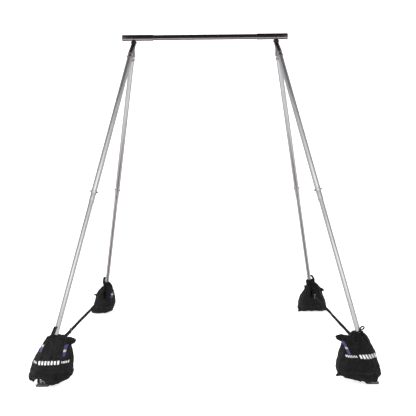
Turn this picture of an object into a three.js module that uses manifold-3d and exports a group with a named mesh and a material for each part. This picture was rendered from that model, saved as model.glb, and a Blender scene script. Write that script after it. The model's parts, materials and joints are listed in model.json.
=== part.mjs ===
// Free-standing A-frame aerial rig: a crossbar carried by four splayed telescopic legs, which stand on swivel
// feet and are weighted with saddle sandbags. A webbing strap ties each pair of legs together near the floor.
// Millimetres, +Z up. X runs along the crossbar, -Y is the front, and the floor is z = 0.
import * as THREE from "three";
import { mergeVertices } from "three/addons/utils/BufferGeometryUtils.js";
import Module from "manifold-3d";

const wasm = await Module();
wasm.setup();

// ---- Driving dimensions ------------------------------------------------------------------------------------
const GAP = 0.4; // running gap between pieces that touch
const ROUND = 24; // sides of a round section
const SMALL_ROUND = 12; // sides of a bolt or a small boss

const BAR_HEIGHT = 3008; // crossbar axis above the floor
const BAR_HALF_LENGTH = 811;
const BAR_RADIUS = 25;
const BAR_WALL = 3;
const SLEEVE_RADIUS = 29;
const SLEEVE_LENGTH = 300;
const CAP_THICKNESS = 4;
const CAP_SPIGOT = 22;

const HINGE_X = 701; // middle of each hinge, from the rig's middle
const HINGE_DROP = 46.5; // hinge axis below the crossbar axis
const TONGUE_HALF = 6.5; // half thickness of a rear leg's tongue
const FORK_HALF = 16.5; // half width of the front leg's fork, which holds that tongue
const TONGUE_RADIUS = 16;
const TONGUE_REACH = 54;
const TONGUE_TAPER = 3;
const LUG_THICKNESS = 3.6;
const LUG_RADIUS = 16;
const LUG_RISE = 30; // from the hinge axis up into the sleeve's wall
const LUG_TOP_HALF_WIDTH = 20;
const SADDLE_RADIUS = 32;
const BOLT_RADIUS = 8;
const BOLT_HEAD_RADIUS = 12;
const BOLT_HEAD_LENGTH = 6;
const THROUGH = 60; // more than half of any hinge's width, for holes that go right through

const SOCKET_TOP = 52; // distances along a leg are measured down from the hinge axis
const FORK_FLARE_TOP = 18; // where the fork's shoulder starts, just below the lugs
const FORK_SHOULDER_HALF = 22;
const FORK_FLARE_EDGE = 4;
const SOCKET_END = 140;
const SOCKET_RIM = 8;
const SOCKET_RADIUS = 29.5;
const SPIGOT_END = 205;
const UPPER_RADIUS = 25;
const UPPER_BORE = 22.4;
const UPPER_END = 1641;
const COLLAR_TOP = 158;
const COLLAR_END = 180;
const COLLAR_RADIUS = 29;
const SCREW_RADIUS = 5;
const SCREW_REACH = 33.5;

const CLAMP_CENTRE = 1620;
const CLAMP_WIDTH = 16;
const CLAMP_RADIUS = 27;
const CLAMP_SCREW_RADIUS = 7.5;
const CLAMP_SCREW_REACH = 35;
const SLEEVE_TOP = 1560;
const ADJUSTER_RADIUS = 23.5;
const ADJUSTER_END = 1722;
const LOWER_RADIUS = 20.7;
const LOWER_BORE = 18.2;
const LOWER_TOP = 1470;

const FOOT_X = 1285; // foot hinge, from the rig's middle
const FOOT_Y = 1300;
const FOOT_HINGE_HEIGHT = 34;
const SOLE_THICKNESS = 9;
const SOLE_HALF_WIDTH = 52;
const SOLE_HALF_DEPTH = 48;
const SOLE_CORNER = 22;
const SHOE_PLATE = 4;
const SHOE_MARGIN = 6; // sole showing past the shoe's plate
const SHOE_EAR_THICKNESS = 4;
const SHOE_EAR_RADIUS = 13;
const FOOT_TONGUE_HALF = 9;
const FOOT_TONGUE_RADIUS = 11;
const FOOT_BOLT_RADIUS = 5;
const FOOT_BOLT_HEAD_RADIUS = 9;
const FOOT_BOLT_HEAD_LENGTH = 8;
const FOOT_PLUG_START = 96; // the plug's top end, up the leg from the foot hinge
const FOOT_PLUG_FLANGE = 34;
const KNOB_RADIUS = 18;
const KNOB_LENGTH = 16;
const KNOB_STANDOFF = 31;
const KNOB_CHAMFER = 4;

const BAG_TUNNEL_RADIUS = 26;
const BAG_TUNNEL_LENGTH = 660;
const BAG_SIDES = 24;
const BAG_SQUARENESS = 2.6; // 2 is an ellipse
const BAG_CLEFT_HALF = 6;
const FOOT_ROOM = [60, 75, 62]; // half width, half depth and height that a bag leaves free over a foot
const STRAP_HEIGHT = 244; // middle of the webbing above the floor
const STRAP_WIDTH = 38;
const STRAP_THICKNESS = 2.4;
const STRAP_CHANNEL_HALF = 8;
const STRAP_CHANNEL_LENGTH = 300;
const BUCKLE_WIDTH = 50;
const BUCKLE_LENGTH = 26;
const BUCKLE_WALL = 3.5;

// ---- Materials ---------------------------------------------------------------------------------------------
const finish = (color, roughness, metalness) =>
  new THREE.MeshStandardMaterial({ color, roughness, metalness });
const FINISHES = {
  blackGloss: [0x17120f, 0.16, 0.6],
  aluminium: [0xc9ccd0, 0.3, 0.95],
  darkSteel: [0x2b2b2e, 0.38, 0.8],
  zinc: [0xb9bcc2, 0.32, 0.9],
  rubber: [0x141414, 0.85, 0],
  nylon: [0x1d1b1c, 0.9, 0],
  webbing: [0x1b1a1c, 0.85, 0],
};

const rig = new THREE.Group();

function add(parent, name, geometry, look) {
  const mesh = new THREE.Mesh(geometry, finish(...FINISHES[look]));
  mesh.name = name;
  parent.add(mesh);
  return mesh;
}

// ---- Solid tools -------------------------------------------------------------------------------------------
function toSolid(geometry) {
  const bare = geometry.clone();
  bare.deleteAttribute("normal");
  bare.deleteAttribute("uv");
  const merged = mergeVertices(bare, 1e-3);
  return new wasm.Manifold(
    new wasm.Mesh({
      numProp: 3,
      vertProperties: new Float32Array(merged.attributes.position.array),
      triVerts: new Uint32Array(merged.index.array),
    }),
  );
}

function toGeometry(solid) {
  const mesh = solid.getMesh();
  const geometry = new THREE.BufferGeometry();
  geometry.setAttribute(
    "position",
    new THREE.BufferAttribute(new Float32Array(mesh.vertProperties), 3),
  );
  geometry.setIndex(new THREE.BufferAttribute(new Uint32Array(mesh.triVerts), 1));
  geometry.computeVertexNormals();
  return geometry;
}

const join = (first, ...rest) =>
  toGeometry(rest.reduce((sum, g) => sum.add(toSolid(g)), toSolid(first)));
const cut = (first, ...rest) =>
  toGeometry(rest.reduce((sum, g) => sum.subtract(toSolid(g)), toSolid(first)));
const wrap = (first, second) => toGeometry(toSolid(first).add(toSolid(second)).hull());

// A closed outline of [radius, z] points turned about Z. The points run upwards on the outside.
function revolve(outline, sides = ROUND) {
  const points = outline.map(([r, z]) => new THREE.Vector2(r, z));
  return new THREE.LatheGeometry(points, sides).rotateX(Math.PI / 2);
}

function rod(radius, low, high, sides = ROUND) {
  return revolve([[0, low], [radius, low], [radius, high], [0, high]], sides);
}

function pipe(inner, outer, low, high, sides = ROUND) {
  return revolve([[inner, low], [outer, low], [outer, high], [inner, high], [inner, low]], sides);
}

const alongX = (geometry) => geometry.rotateY(Math.PI / 2);

function block(low, high) {
  const size = high.map((v, i) => v - low[i]);
  const middle = high.map((v, i) => (v + low[i]) / 2);
  return new THREE.BoxGeometry(...size).translate(...middle);
}

// A plate in the YZ plane with a round end at the origin, which widens or narrows up to a straight end.
function roundEndPlate(radius, endZ, endHalfWidth, lowX, highX) {
  const shape = new THREE.Shape();
  const down = endZ < 0;
  shape.absarc(0, 0, radius, down ? 0 : Math.PI, down ? Math.PI : 2 * Math.PI, false);
  shape.lineTo(down ? -endHalfWidth : endHalfWidth, endZ);
  shape.lineTo(down ? endHalfWidth : -endHalfWidth, endZ);
  const plate = new THREE.ExtrudeGeometry(shape, {
    depth: highX - lowX,
    bevelEnabled: false,
    curveSegments: SMALL_ROUND,
  });
  // The shape's x, y and depth become Y, Z and X.
  const turn = new THREE.Matrix4().set(0, 0, 1, lowX, 1, 0, 0, 0, 0, 1, 0, 0, 0, 0, 0, 1);
  return plate.applyMatrix4(turn);
}

// ---- Crossbar and hinge heads ------------------------------------------------------------------------------
function crossbar() {
  const tube = pipe(BAR_RADIUS - BAR_WALL, BAR_RADIUS, -BAR_HALF_LENGTH, BAR_HALF_LENGTH);
  add(rig, "crossbar", alongX(tube), "blackGloss").position.z = BAR_HEIGHT;
}

// One end of the crossbar: the sleeve with the saddle and lugs of its hinge, the end cap, and the hinge bolt
// with its nut. The legs hinge between the two lugs.
function head(side) {
  const label = side < 0 ? "left" : "right";
  const inner = BAR_HALF_LENGTH - SLEEVE_LENGTH;
  const lugInner = FORK_HALF + GAP;
  const lugOuter = lugInner + LUG_THICKNESS;
  const bore = alongX(rod(BAR_RADIUS + GAP, -BAR_HALF_LENGTH - THROUGH, BAR_HALF_LENGTH + THROUGH));
  const saddle = cut(
    alongX(rod(SADDLE_RADIUS, HINGE_X - lugOuter, HINGE_X + lugOuter)),
    block([0, -THROUGH, 0], [BAR_HALF_LENGTH, THROUGH, THROUGH]),
  );
  const lug = (low, high) =>
    roundEndPlate(LUG_RADIUS, LUG_RISE, LUG_TOP_HALF_WIDTH, HINGE_X + low, HINGE_X + high)
      .translate(0, 0, -HINGE_DROP);
  const forkRoom = alongX(rod(TONGUE_RADIUS + 1, HINGE_X - lugInner, HINGE_X + lugInner))
    .translate(0, 0, -HINGE_DROP);
  const boltHole = alongX(rod(BOLT_RADIUS + GAP, HINGE_X - THROUGH, HINGE_X + THROUGH, SMALL_ROUND));
  const sleeve = cut(
    join(
      alongX(rod(SLEEVE_RADIUS, inner, BAR_HALF_LENGTH)),
      saddle,
      lug(-lugOuter, -lugInner),
      lug(lugInner, lugOuter),
    ),
    bore,
    forkRoom,
    boltHole.translate(0, 0, -HINGE_DROP),
  );
  const cap = join(
    alongX(rod(SLEEVE_RADIUS - 0.5, BAR_HALF_LENGTH + GAP, BAR_HALF_LENGTH + CAP_THICKNESS)),
    alongX(
      rod(BAR_RADIUS - BAR_WALL - GAP, BAR_HALF_LENGTH - CAP_SPIGOT, BAR_HALF_LENGTH + CAP_THICKNESS - 1),
    ),
  );
  const seat = lugOuter + GAP;
  const bolt = join(
    alongX(rod(BOLT_RADIUS, HINGE_X - seat - BOLT_HEAD_LENGTH, HINGE_X + seat + 1, SMALL_ROUND)),
    alongX(rod(BOLT_HEAD_RADIUS, HINGE_X + seat, HINGE_X + seat + BOLT_HEAD_LENGTH, 6)),
  );
  const nut = alongX(
    pipe(BOLT_RADIUS + GAP, BOLT_HEAD_RADIUS, HINGE_X - seat - BOLT_HEAD_LENGTH, HINGE_X - seat, SMALL_ROUND),
  );
  const turned = new THREE.Group();
  turned.position.z = BAR_HEIGHT;
  turned.rotation.z = side < 0 ? Math.PI : 0;
  rig.add(turned);
  add(turned, `head_${label}`, sleeve, "blackGloss");
  add(turned, `end_cap_${label}`, cap, "rubber");
  add(turned, `hinge_bolt_${label}`, bolt, "darkSteel").position.z = -HINGE_DROP;
  add(turned, `hinge_nut_${label}`, nut, "darkSteel").position.z = -HINGE_DROP;
}

// ---- Legs --------------------------------------------------------------------------------------------------
// Where a leg stands: its hinge, its foot and the two angles between them.
function legPlace(side, end) {
  const drop = BAR_HEIGHT - HINGE_DROP - FOOT_HINGE_HEIGHT;
  const reach = Math.hypot(FOOT_Y, drop);
  return {
    side,
    end,
    label: (end < 0 ? "front" : "rear") + "_" + (side < 0 ? "left" : "right"),
    hinge: new THREE.Vector3(side * HINGE_X, 0, BAR_HEIGHT - HINGE_DROP),
    foot: new THREE.Vector3(side * FOOT_X, end * FOOT_Y, FOOT_HINGE_HEIGHT),
    length: Math.hypot(FOOT_X - HINGE_X, reach),
    lean: Math.atan2(FOOT_Y, drop),
    splay: Math.atan2(FOOT_X - HINGE_X, reach),
  };
}

// The point on a leg's axis at a height above the floor.
function axisAt(place, height) {
  const t = (height - place.foot.z) / (place.hinge.z - place.foot.z);
  return place.foot.clone().lerp(place.hinge, t);
}

function legGeometries(place) {
  const splay = (geometry) => geometry.rotateY(-place.side * place.splay);
  const isFork = place.end < 0;
  const half = isFork ? FORK_HALF : TONGUE_HALF;
  const shankHalf = TONGUE_RADIUS - TONGUE_TAPER;
  const tongue = roundEndPlate(TONGUE_RADIUS, -TONGUE_REACH, shankHalf, -half, half);
  const shank = block([-half, -shankHalf, -TONGUE_REACH], [half, shankHalf, -SOCKET_TOP]);
  const rim = splay(rod(SOCKET_RADIUS, -SOCKET_END, -SOCKET_END + SOCKET_RIM));
  const spigot = splay(rod(UPPER_BORE - GAP, -SPIGOT_END, -SOCKET_END + SOCKET_RIM));
  const hole = alongX(rod(BOLT_RADIUS + GAP, -half - 1, half + 1, SMALL_ROUND));
  const flareTop = block(
    [-FORK_SHOULDER_HALF, -shankHalf, -FORK_FLARE_TOP - FORK_FLARE_EDGE],
    [FORK_SHOULDER_HALF, shankHalf, -FORK_FLARE_TOP],
  );
  const slotHalf = TONGUE_HALF + GAP;
  const slot = block([-slotHalf, -THROUGH, -SOCKET_TOP], [slotHalf, THROUGH, THROUGH]);
  const socketBody = join(tongue, wrap(isFork ? flareTop : shank, rim), spigot);
  const boss = (radius, inner, reach, z) =>
    alongX(rod(radius, inner, reach, SMALL_ROUND)).translate(0, 0, z);
  const mirrored = (geometry) => geometry.rotateZ(Math.PI);
  const collarScrew = boss(SCREW_RADIUS, COLLAR_RADIUS - 2, SCREW_REACH, -(COLLAR_TOP + COLLAR_END) / 2);
  const clampHalf = CLAMP_WIDTH / 2;
  const clampScrew = () => boss(CLAMP_SCREW_RADIUS, CLAMP_RADIUS - 1, CLAMP_SCREW_REACH, -CLAMP_CENTRE);
  const plugFlange = place.length - FOOT_PLUG_FLANGE;
  const footTongue = roundEndPlate(
    FOOT_TONGUE_RADIUS, FOOT_PLUG_FLANGE, FOOT_TONGUE_RADIUS, -FOOT_TONGUE_HALF, FOOT_TONGUE_HALF,
  );
  const plug = splay(
    revolve([
      [0, FOOT_PLUG_FLANGE - 8],
      [LOWER_RADIUS - 3, FOOT_PLUG_FLANGE - 8],
      [LOWER_RADIUS, FOOT_PLUG_FLANGE - 4],
      [LOWER_RADIUS, FOOT_PLUG_FLANGE],
      [LOWER_BORE - GAP, FOOT_PLUG_FLANGE],
      [LOWER_BORE - GAP, FOOT_PLUG_START],
      [0, FOOT_PLUG_START],
    ], SMALL_ROUND),
  );
  const footHole = alongX(rod(FOOT_BOLT_RADIUS + GAP, -THROUGH, THROUGH, SMALL_ROUND));
  return {
    socket: isFork ? cut(socketBody, hole, slot) : cut(socketBody, hole),
    collar: join(
      pipe(UPPER_RADIUS + GAP, COLLAR_RADIUS, -COLLAR_END, -COLLAR_TOP),
      place.side < 0 ? mirrored(collarScrew) : collarScrew,
    ),
    upper_tube: pipe(UPPER_BORE, UPPER_RADIUS, -UPPER_END, -SOCKET_END - GAP),
    clamp: join(
      pipe(UPPER_RADIUS + GAP, CLAMP_RADIUS, -CLAMP_CENTRE - clampHalf, -CLAMP_CENTRE + clampHalf),
      clampScrew(),
      mirrored(clampScrew()),
    ),
    adjuster: revolve([
      [LOWER_RADIUS + GAP, -ADJUSTER_END],
      [ADJUSTER_RADIUS, -ADJUSTER_END],
      [ADJUSTER_RADIUS, -UPPER_END - GAP],
      [UPPER_BORE - GAP, -UPPER_END - GAP],
      [UPPER_BORE - GAP, -SLEEVE_TOP],
      [LOWER_RADIUS + GAP, -SLEEVE_TOP],
      [LOWER_RADIUS + GAP, -ADJUSTER_END],
    ]),
    lower_tube: pipe(LOWER_BORE, LOWER_RADIUS, -plugFlange + GAP, -LOWER_TOP),
    foot_tongue: cut(join(footTongue, plug), footHole),
  };
}

function leg(place) {
  const parts = legGeometries(place);
  const fold = new THREE.Group();
  fold.position.copy(place.hinge);
  fold.rotation.x = place.end * place.lean;
  rig.add(fold);
  const splayed = new THREE.Group();
  splayed.rotation.y = -place.side * place.splay;
  fold.add(splayed);
  add(fold, `${place.label}_socket`, parts.socket, "blackGloss");
  add(splayed, `${place.label}_collar`, parts.collar, "blackGloss");
  add(splayed, `${place.label}_upper_tube`, parts.upper_tube, "aluminium");
  add(splayed, `${place.label}_clamp`, parts.clamp, "darkSteel");
  add(splayed, `${place.label}_adjuster`, parts.adjuster, "aluminium");
  add(splayed, `${place.label}_lower_tube`, parts.lower_tube, "aluminium");
  const lowEnd = new THREE.Group();
  lowEnd.position.copy(place.foot);
  lowEnd.rotation.x = place.end * place.lean;
  rig.add(lowEnd);
  add(lowEnd, `${place.label}_foot_tongue`, parts.foot_tongue, "zinc");
}

// ---- Feet --------------------------------------------------------------------------------------------------
function roundedPlate(halfWidth, halfDepth, corner, low, high) {
  const shape = new THREE.Shape();
  const x = halfWidth - corner;
  const y = halfDepth - corner;
  shape.absarc(x, y, corner, 0, Math.PI / 2, false);
  shape.absarc(-x, y, corner, Math.PI / 2, Math.PI, false);
  shape.absarc(-x, -y, corner, Math.PI, 1.5 * Math.PI, false);
  shape.absarc(x, -y, corner, 1.5 * Math.PI, 2 * Math.PI, false);
  return new THREE.ExtrudeGeometry(shape, {
    depth: high - low,
    bevelEnabled: false,
    curveSegments: 3,
  }).translate(0, 0, low);
}

function foot(place) {
  const plateTop = SOLE_THICKNESS + GAP + SHOE_PLATE - FOOT_HINGE_HEIGHT;
  const plateLow = SOLE_THICKNESS + GAP - FOOT_HINGE_HEIGHT;
  const earLow = FOOT_TONGUE_HALF + GAP;
  const earHigh = earLow + SHOE_EAR_THICKNESS;
  const ear = (low, high) =>
    roundEndPlate(SHOE_EAR_RADIUS, plateLow + 1, SHOE_EAR_RADIUS + 5, low, high);
  const shoe = cut(
    join(
      roundedPlate(
        SOLE_HALF_WIDTH - SHOE_MARGIN,
        SOLE_HALF_DEPTH - SHOE_MARGIN,
        SOLE_CORNER - SHOE_MARGIN,
        plateLow,
        plateTop,
      ),
      ear(-earHigh, -earLow),
      ear(earLow, earHigh),
    ),
    alongX(rod(FOOT_BOLT_RADIUS + GAP, -THROUGH, THROUGH, SMALL_ROUND)),
  );
  const sole = roundedPlate(
    SOLE_HALF_WIDTH, SOLE_HALF_DEPTH, SOLE_CORNER, -FOOT_HINGE_HEIGHT, SOLE_THICKNESS - FOOT_HINGE_HEIGHT,
  );
  const knob = alongX(
    revolve([
      [0, -earHigh - FOOT_BOLT_HEAD_LENGTH],
      [FOOT_BOLT_HEAD_RADIUS, -earHigh - FOOT_BOLT_HEAD_LENGTH],
      [FOOT_BOLT_HEAD_RADIUS, -earHigh - GAP],
      [FOOT_BOLT_RADIUS, -earHigh - GAP],
      [FOOT_BOLT_RADIUS, KNOB_STANDOFF],
      [KNOB_RADIUS - KNOB_CHAMFER, KNOB_STANDOFF],
      [KNOB_RADIUS, KNOB_STANDOFF + KNOB_CHAMFER],
      [KNOB_RADIUS, KNOB_STANDOFF + KNOB_LENGTH - KNOB_CHAMFER],
      [KNOB_RADIUS - KNOB_CHAMFER, KNOB_STANDOFF + KNOB_LENGTH],
      [0, KNOB_STANDOFF + KNOB_LENGTH],
    ], SMALL_ROUND),
  );
  if (place.side < 0) knob.rotateZ(Math.PI);
  const stand = new THREE.Group();
  stand.position.copy(place.foot);
  rig.add(stand);
  add(stand, `${place.label}_foot_shoe`, shoe, "zinc");
  add(stand, `${place.label}_foot_sole`, sole, "rubber");
  add(stand, `${place.label}_foot_knob`, knob, "rubber");
}

// ---- Sandbags ----------------------------------------------------------------------------------------------
// A stack of rings skinned into one closed surface. Each ring is an array of points, seen from above
// anticlockwise, and the rings run upwards.
function loft(rings) {
  const sides = rings[0].length;
  const positions = rings.flat().flatMap((p) => [p.x, p.y, p.z]);
  const index = [];
  for (let level = 0; level < rings.length - 1; level++) {
    for (let i = 0; i < sides; i++) {
      const a = level * sides + i;
      const b = level * sides + ((i + 1) % sides);
      index.push(a, b, b + sides, a, b + sides, a + sides);
    }
  }
  for (const [level, up] of [[0, false], [rings.length - 1, true]]) {
    const centre = new THREE.Vector3();
    rings[level].forEach((p) => centre.add(p));
    centre.divideScalar(sides);
    const middle = positions.push(centre.x, centre.y, centre.z) / 3 - 1;
    for (let i = 0; i < sides; i++) {
      const a = level * sides + i;
      const b = level * sides + ((i + 1) % sides);
      index.push(...(up ? [a, b, middle] : [b, a, middle]));
    }
  }
  const geometry = new THREE.BufferGeometry();
  geometry.setAttribute("position", new THREE.Float32BufferAttribute(positions, 3));
  geometry.setIndex(index);
  return geometry;
}

// Each level of a bag: its height, then how far it reaches from the leg's axis away from the rig in X, towards
// the rig in X, away from the rig in Y and towards the rig in Y.
const BAG_LEVELS = {
  front_left: [
    [20, 24, 104, 92, 84],
    [46, 92, 160, 94, 110],
    [62, 114, 196, 102, 138],
    [85, 120, 214, 110, 150],
    [115, 120, 200, 112, 150],
    [178, 116, 189, 108, 138],
    [249, 92, 156, 92, 116],
    [293, 74, 132, 76, 94],
    [332, 60, 94, 54, 66],
    [354, 44, 58, 40, 44],
  ],
  front_right: [
    [24, 40, 96, 88, 84],
    [48, 60, 180, 98, 116],
    [64, 68, 236, 104, 138],
    [85, 84, 256, 110, 150],
    [115, 80, 244, 112, 150],
    [165, 76, 222, 110, 140],
    [209, 82, 196, 104, 128],
    [273, 64, 156, 84, 106],
    [325, 56, 90, 60, 72],
    [364, 40, 44, 40, 42],
  ],
  rear_left: [
    [14, 120, 80, 60, 130],
    [34, 150, 106, 90, 150],
    [85, 130, 118, 108, 152],
    [150, 110, 120, 108, 144],
    [205, 108, 108, 100, 130],
    [255, 104, 94, 86, 108],
    [300, 80, 80, 66, 84],
    [350, 42, 62, 46, 56],
    [392, 38, 42, 40, 40],
  ],
  rear_right: [
    [14, 130, 180, 60, 120],
    [34, 150, 192, 90, 146],
    [85, 152, 172, 108, 152],
    [150, 148, 152, 108, 144],
    [205, 134, 130, 100, 130],
    [255, 126, 92, 86, 108],
    [300, 120, 62, 66, 84],
    [350, 84, 42, 46, 56],
    [400, 42, 38, 40, 40],
  ],
};

// The section of a bag at one level: four quarters of a rounded rectangle that meet round the leg.
function bagRing(place, [height, out, inward, far, near]) {
  const axis = axisAt(place, height);
  const power = 2 / BAG_SQUARENESS;
  const bend = (v) => Math.sign(v) * Math.abs(v) ** power;
  return Array.from({ length: BAG_SIDES }, (_, i) => {
    const angle = (2 * Math.PI * i) / BAG_SIDES;
    const x = bend(Math.cos(angle));
    const y = bend(Math.sin(angle));
    const reachX = x * place.side > 0 ? out : inward;
    const reachY = y * place.end > 0 ? far : near;
    return new THREE.Vector3(axis.x + x * reachX, axis.y + y * reachY, height);
  });
}

// A bag is a saddle folded round the leg: a tunnel for the leg, a cleft where its two halves meet on the side
// that faces the rig, and a channel through which the tie strap leaves.
function sandbag(place) {
  const rings = BAG_LEVELS[place.label].map((level) => bagRing(place, level));
  const low = -place.length - THROUGH;
  const high = low + BAG_TUNNEL_LENGTH;
  const onLeg = (geometry) =>
    geometry
      .rotateY(-place.side * place.splay)
      .rotateX(place.end * place.lean)
      .translate(...place.hinge.toArray());
  const towardsRig = (near, far) => [near, far].map((v) => -place.end * v).sort((a, b) => a - b);
  const [cleftLow, cleftHigh] = towardsRig(0, STRAP_CHANNEL_LENGTH);
  const tunnel = onLeg(rod(BAG_TUNNEL_RADIUS, low, high, SMALL_ROUND));
  const cleft = onLeg(block([-BAG_CLEFT_HALF, cleftLow, low], [BAG_CLEFT_HALF, cleftHigh, high]));
  const strapAxis = axisAt(place, STRAP_HEIGHT);
  const [from, to] = towardsRig(0, STRAP_CHANNEL_LENGTH).map((v) => v + strapAxis.y);
  const channel = block(
    [strapAxis.x - STRAP_CHANNEL_HALF, from, STRAP_HEIGHT - STRAP_WIDTH],
    [strapAxis.x + STRAP_CHANNEL_HALF, to, STRAP_HEIGHT + STRAP_WIDTH],
  );
  const [roomX, roomY, roomHeight] = FOOT_ROOM;
  const footRoom = block(
    [place.foot.x - roomX, place.foot.y - roomY, 0],
    [place.foot.x + roomX, place.foot.y + roomY, roomHeight],
  );
  add(rig, `${place.label}_sandbag`, cut(loft(rings), tunnel, cleft, channel, footRoom), "nylon");
}

// ---- Tie straps --------------------------------------------------------------------------------------------
// Half of a tie strap: a loop round the leg and a taut run from the loop to the middle of the rig.
function strapHalf(place) {
  const axis = axisAt(place, STRAP_HEIGHT);
  const inner = LOWER_RADIUS + GAP + 1;
  const outer = inner + STRAP_THICKNESS;
  const half = STRAP_WIDTH / 2;
  const alongLeg = (geometry) =>
    geometry
      .rotateY(-place.side * place.splay)
      .rotateX(place.end * place.lean)
      .translate(...axis.toArray());
  const loop = alongLeg(pipe(inner, outer, -half, half, SMALL_ROUND));
  const legRoom = alongLeg(rod(inner, -STRAP_WIDTH, STRAP_WIDTH, SMALL_ROUND));
  const start = axis.y;
  const stop = place.end * GAP;
  const run = block(
    [axis.x - STRAP_THICKNESS / 2, Math.min(start, stop), STRAP_HEIGHT - half],
    [axis.x + STRAP_THICKNESS / 2, Math.max(start, stop), STRAP_HEIGHT + half],
  );
  add(rig, `${place.label}_strap`, cut(join(loop, run), legRoom), "webbing");
}

// A flat slide buckle that the webbing threads through, at a distance from the leg's axis along the strap.
function buckle(place, name, distance) {
  const axis = axisAt(place, STRAP_HEIGHT);
  const y = axis.y - place.end * distance;
  const halfX = BUCKLE_WALL + STRAP_THICKNESS;
  const halfZ = BUCKLE_WIDTH / 2;
  const shell = block(
    [axis.x - halfX, y - BUCKLE_LENGTH / 2, STRAP_HEIGHT - halfZ],
    [axis.x + halfX, y + BUCKLE_LENGTH / 2, STRAP_HEIGHT + halfZ],
  );
  const slotX = STRAP_THICKNESS / 2 + GAP;
  const slotZ = STRAP_WIDTH / 2 + GAP;
  const slot = block(
    [axis.x - slotX, y - BUCKLE_LENGTH, STRAP_HEIGHT - slotZ],
    [axis.x + slotX, y + BUCKLE_LENGTH, STRAP_HEIGHT + slotZ],
  );
  add(rig, name, cut(shell, slot), "zinc");
}

// ---- Assembly ----------------------------------------------------------------------------------------------
crossbar();
for (const side of [-1, 1]) {
  head(side);
  for (const end of [-1, 1]) {
    const place = legPlace(side, end);
    leg(place);
    foot(place);
    sandbag(place);
    strapHalf(place);
  }
}
buckle(legPlace(-1, -1), "buckle_left_front", 250);
buckle(legPlace(-1, -1), "buckle_left_middle", 640);
buckle(legPlace(1, 1), "buckle_right_rear", 270);

export default rig;
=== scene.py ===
"""Looks for the free-standing A-frame aerial rig: detailed metalwork, four cloth-simulated sandbags and the
webbing tie straps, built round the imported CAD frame. Metres, +Z up, X along the crossbar, -Y is the front."""
import json
import math

import bmesh
import bpy
from mathutils import Matrix, Vector, noise
from mathutils.bvhtree import BVHTree

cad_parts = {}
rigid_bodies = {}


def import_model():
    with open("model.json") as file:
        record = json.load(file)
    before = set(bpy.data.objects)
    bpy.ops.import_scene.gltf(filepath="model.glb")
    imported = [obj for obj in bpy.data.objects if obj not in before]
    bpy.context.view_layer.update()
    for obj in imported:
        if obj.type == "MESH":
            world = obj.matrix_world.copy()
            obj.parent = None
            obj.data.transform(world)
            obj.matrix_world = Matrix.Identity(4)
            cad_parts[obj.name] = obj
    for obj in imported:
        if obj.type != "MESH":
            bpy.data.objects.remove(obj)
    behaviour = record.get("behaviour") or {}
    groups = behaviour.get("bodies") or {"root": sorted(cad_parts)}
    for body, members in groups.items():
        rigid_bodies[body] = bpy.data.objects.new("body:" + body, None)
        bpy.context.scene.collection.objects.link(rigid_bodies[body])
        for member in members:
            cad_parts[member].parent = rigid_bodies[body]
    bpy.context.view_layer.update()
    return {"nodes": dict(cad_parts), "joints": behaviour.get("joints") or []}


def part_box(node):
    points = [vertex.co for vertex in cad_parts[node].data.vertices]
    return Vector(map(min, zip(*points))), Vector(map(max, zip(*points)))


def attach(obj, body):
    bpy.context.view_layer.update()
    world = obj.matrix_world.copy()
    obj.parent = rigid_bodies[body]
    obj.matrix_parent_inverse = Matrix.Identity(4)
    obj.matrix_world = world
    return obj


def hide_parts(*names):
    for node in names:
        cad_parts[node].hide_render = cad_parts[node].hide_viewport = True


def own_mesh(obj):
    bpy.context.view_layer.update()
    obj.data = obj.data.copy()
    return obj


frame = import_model()
JOINTS = {joint["name"]: joint for joint in frame["joints"]}
X, Y, Z = Vector((1, 0, 0)), Vector((0, 1, 0)), Vector((0, 0, 1))


# ---- Camera -------------------------------------------------------------------------------------------------
CAMERA_PLACE = Vector((0.044, -5.813, 1.567))
CAMERA_YAW, CAMERA_PITCH, CAMERA_ROLL = (math.radians(a) for a in (-0.30, -2.40, -0.59))
FOCAL_LENGTH, SENSOR = 50.5, 36.0


def make_camera():
    data = bpy.data.cameras.new("camera")
    data.lens, data.sensor_width = FOCAL_LENGTH, SENSOR
    camera = bpy.data.objects.new("camera", data)
    bpy.context.scene.collection.objects.link(camera)
    forward = Vector((
        math.sin(CAMERA_YAW) * math.cos(CAMERA_PITCH),
        math.cos(CAMERA_YAW) * math.cos(CAMERA_PITCH),
        math.sin(CAMERA_PITCH),
    ))
    right = Vector((math.cos(CAMERA_YAW), -math.sin(CAMERA_YAW), 0))
    turn = Matrix.Rotation(-CAMERA_ROLL, 3, forward)
    right, above = turn @ right, turn @ right.cross(forward)
    camera.matrix_world = basis(right, above, -forward, CAMERA_PLACE)
    bpy.context.scene.camera = camera


def basis(x, y, z, origin):
    """The matrix whose axes are x, y and z and whose origin is the given point."""
    m = Matrix((x, y, z)).transposed().to_4x4()
    m.translation = origin
    return m


# ---- Mesh tools ---------------------------------------------------------------------------------------------
SHARP = math.radians(32)


def link(name, mesh, material, matrix=None):
    piece = bpy.data.objects.new(name, mesh)
    bpy.context.scene.collection.objects.link(piece)
    if matrix is not None:
        piece.matrix_world = matrix
    mesh.materials.append(material)
    return piece


def mesh_from(name, points, faces, smooth=True):
    mesh = bpy.data.meshes.new(name)
    mesh.from_pydata([tuple(p) for p in points], [], faces)
    bm = bmesh.new()
    bm.from_mesh(mesh)
    bmesh.ops.remove_doubles(bm, verts=bm.verts, dist=1e-6)
    bmesh.ops.recalc_face_normals(bm, faces=bm.faces)
    bm.to_mesh(mesh)
    bm.free()
    if smooth:
        mesh.shade_smooth()
        mesh.set_sharp_from_angle(angle=SHARP)
    return mesh


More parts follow.
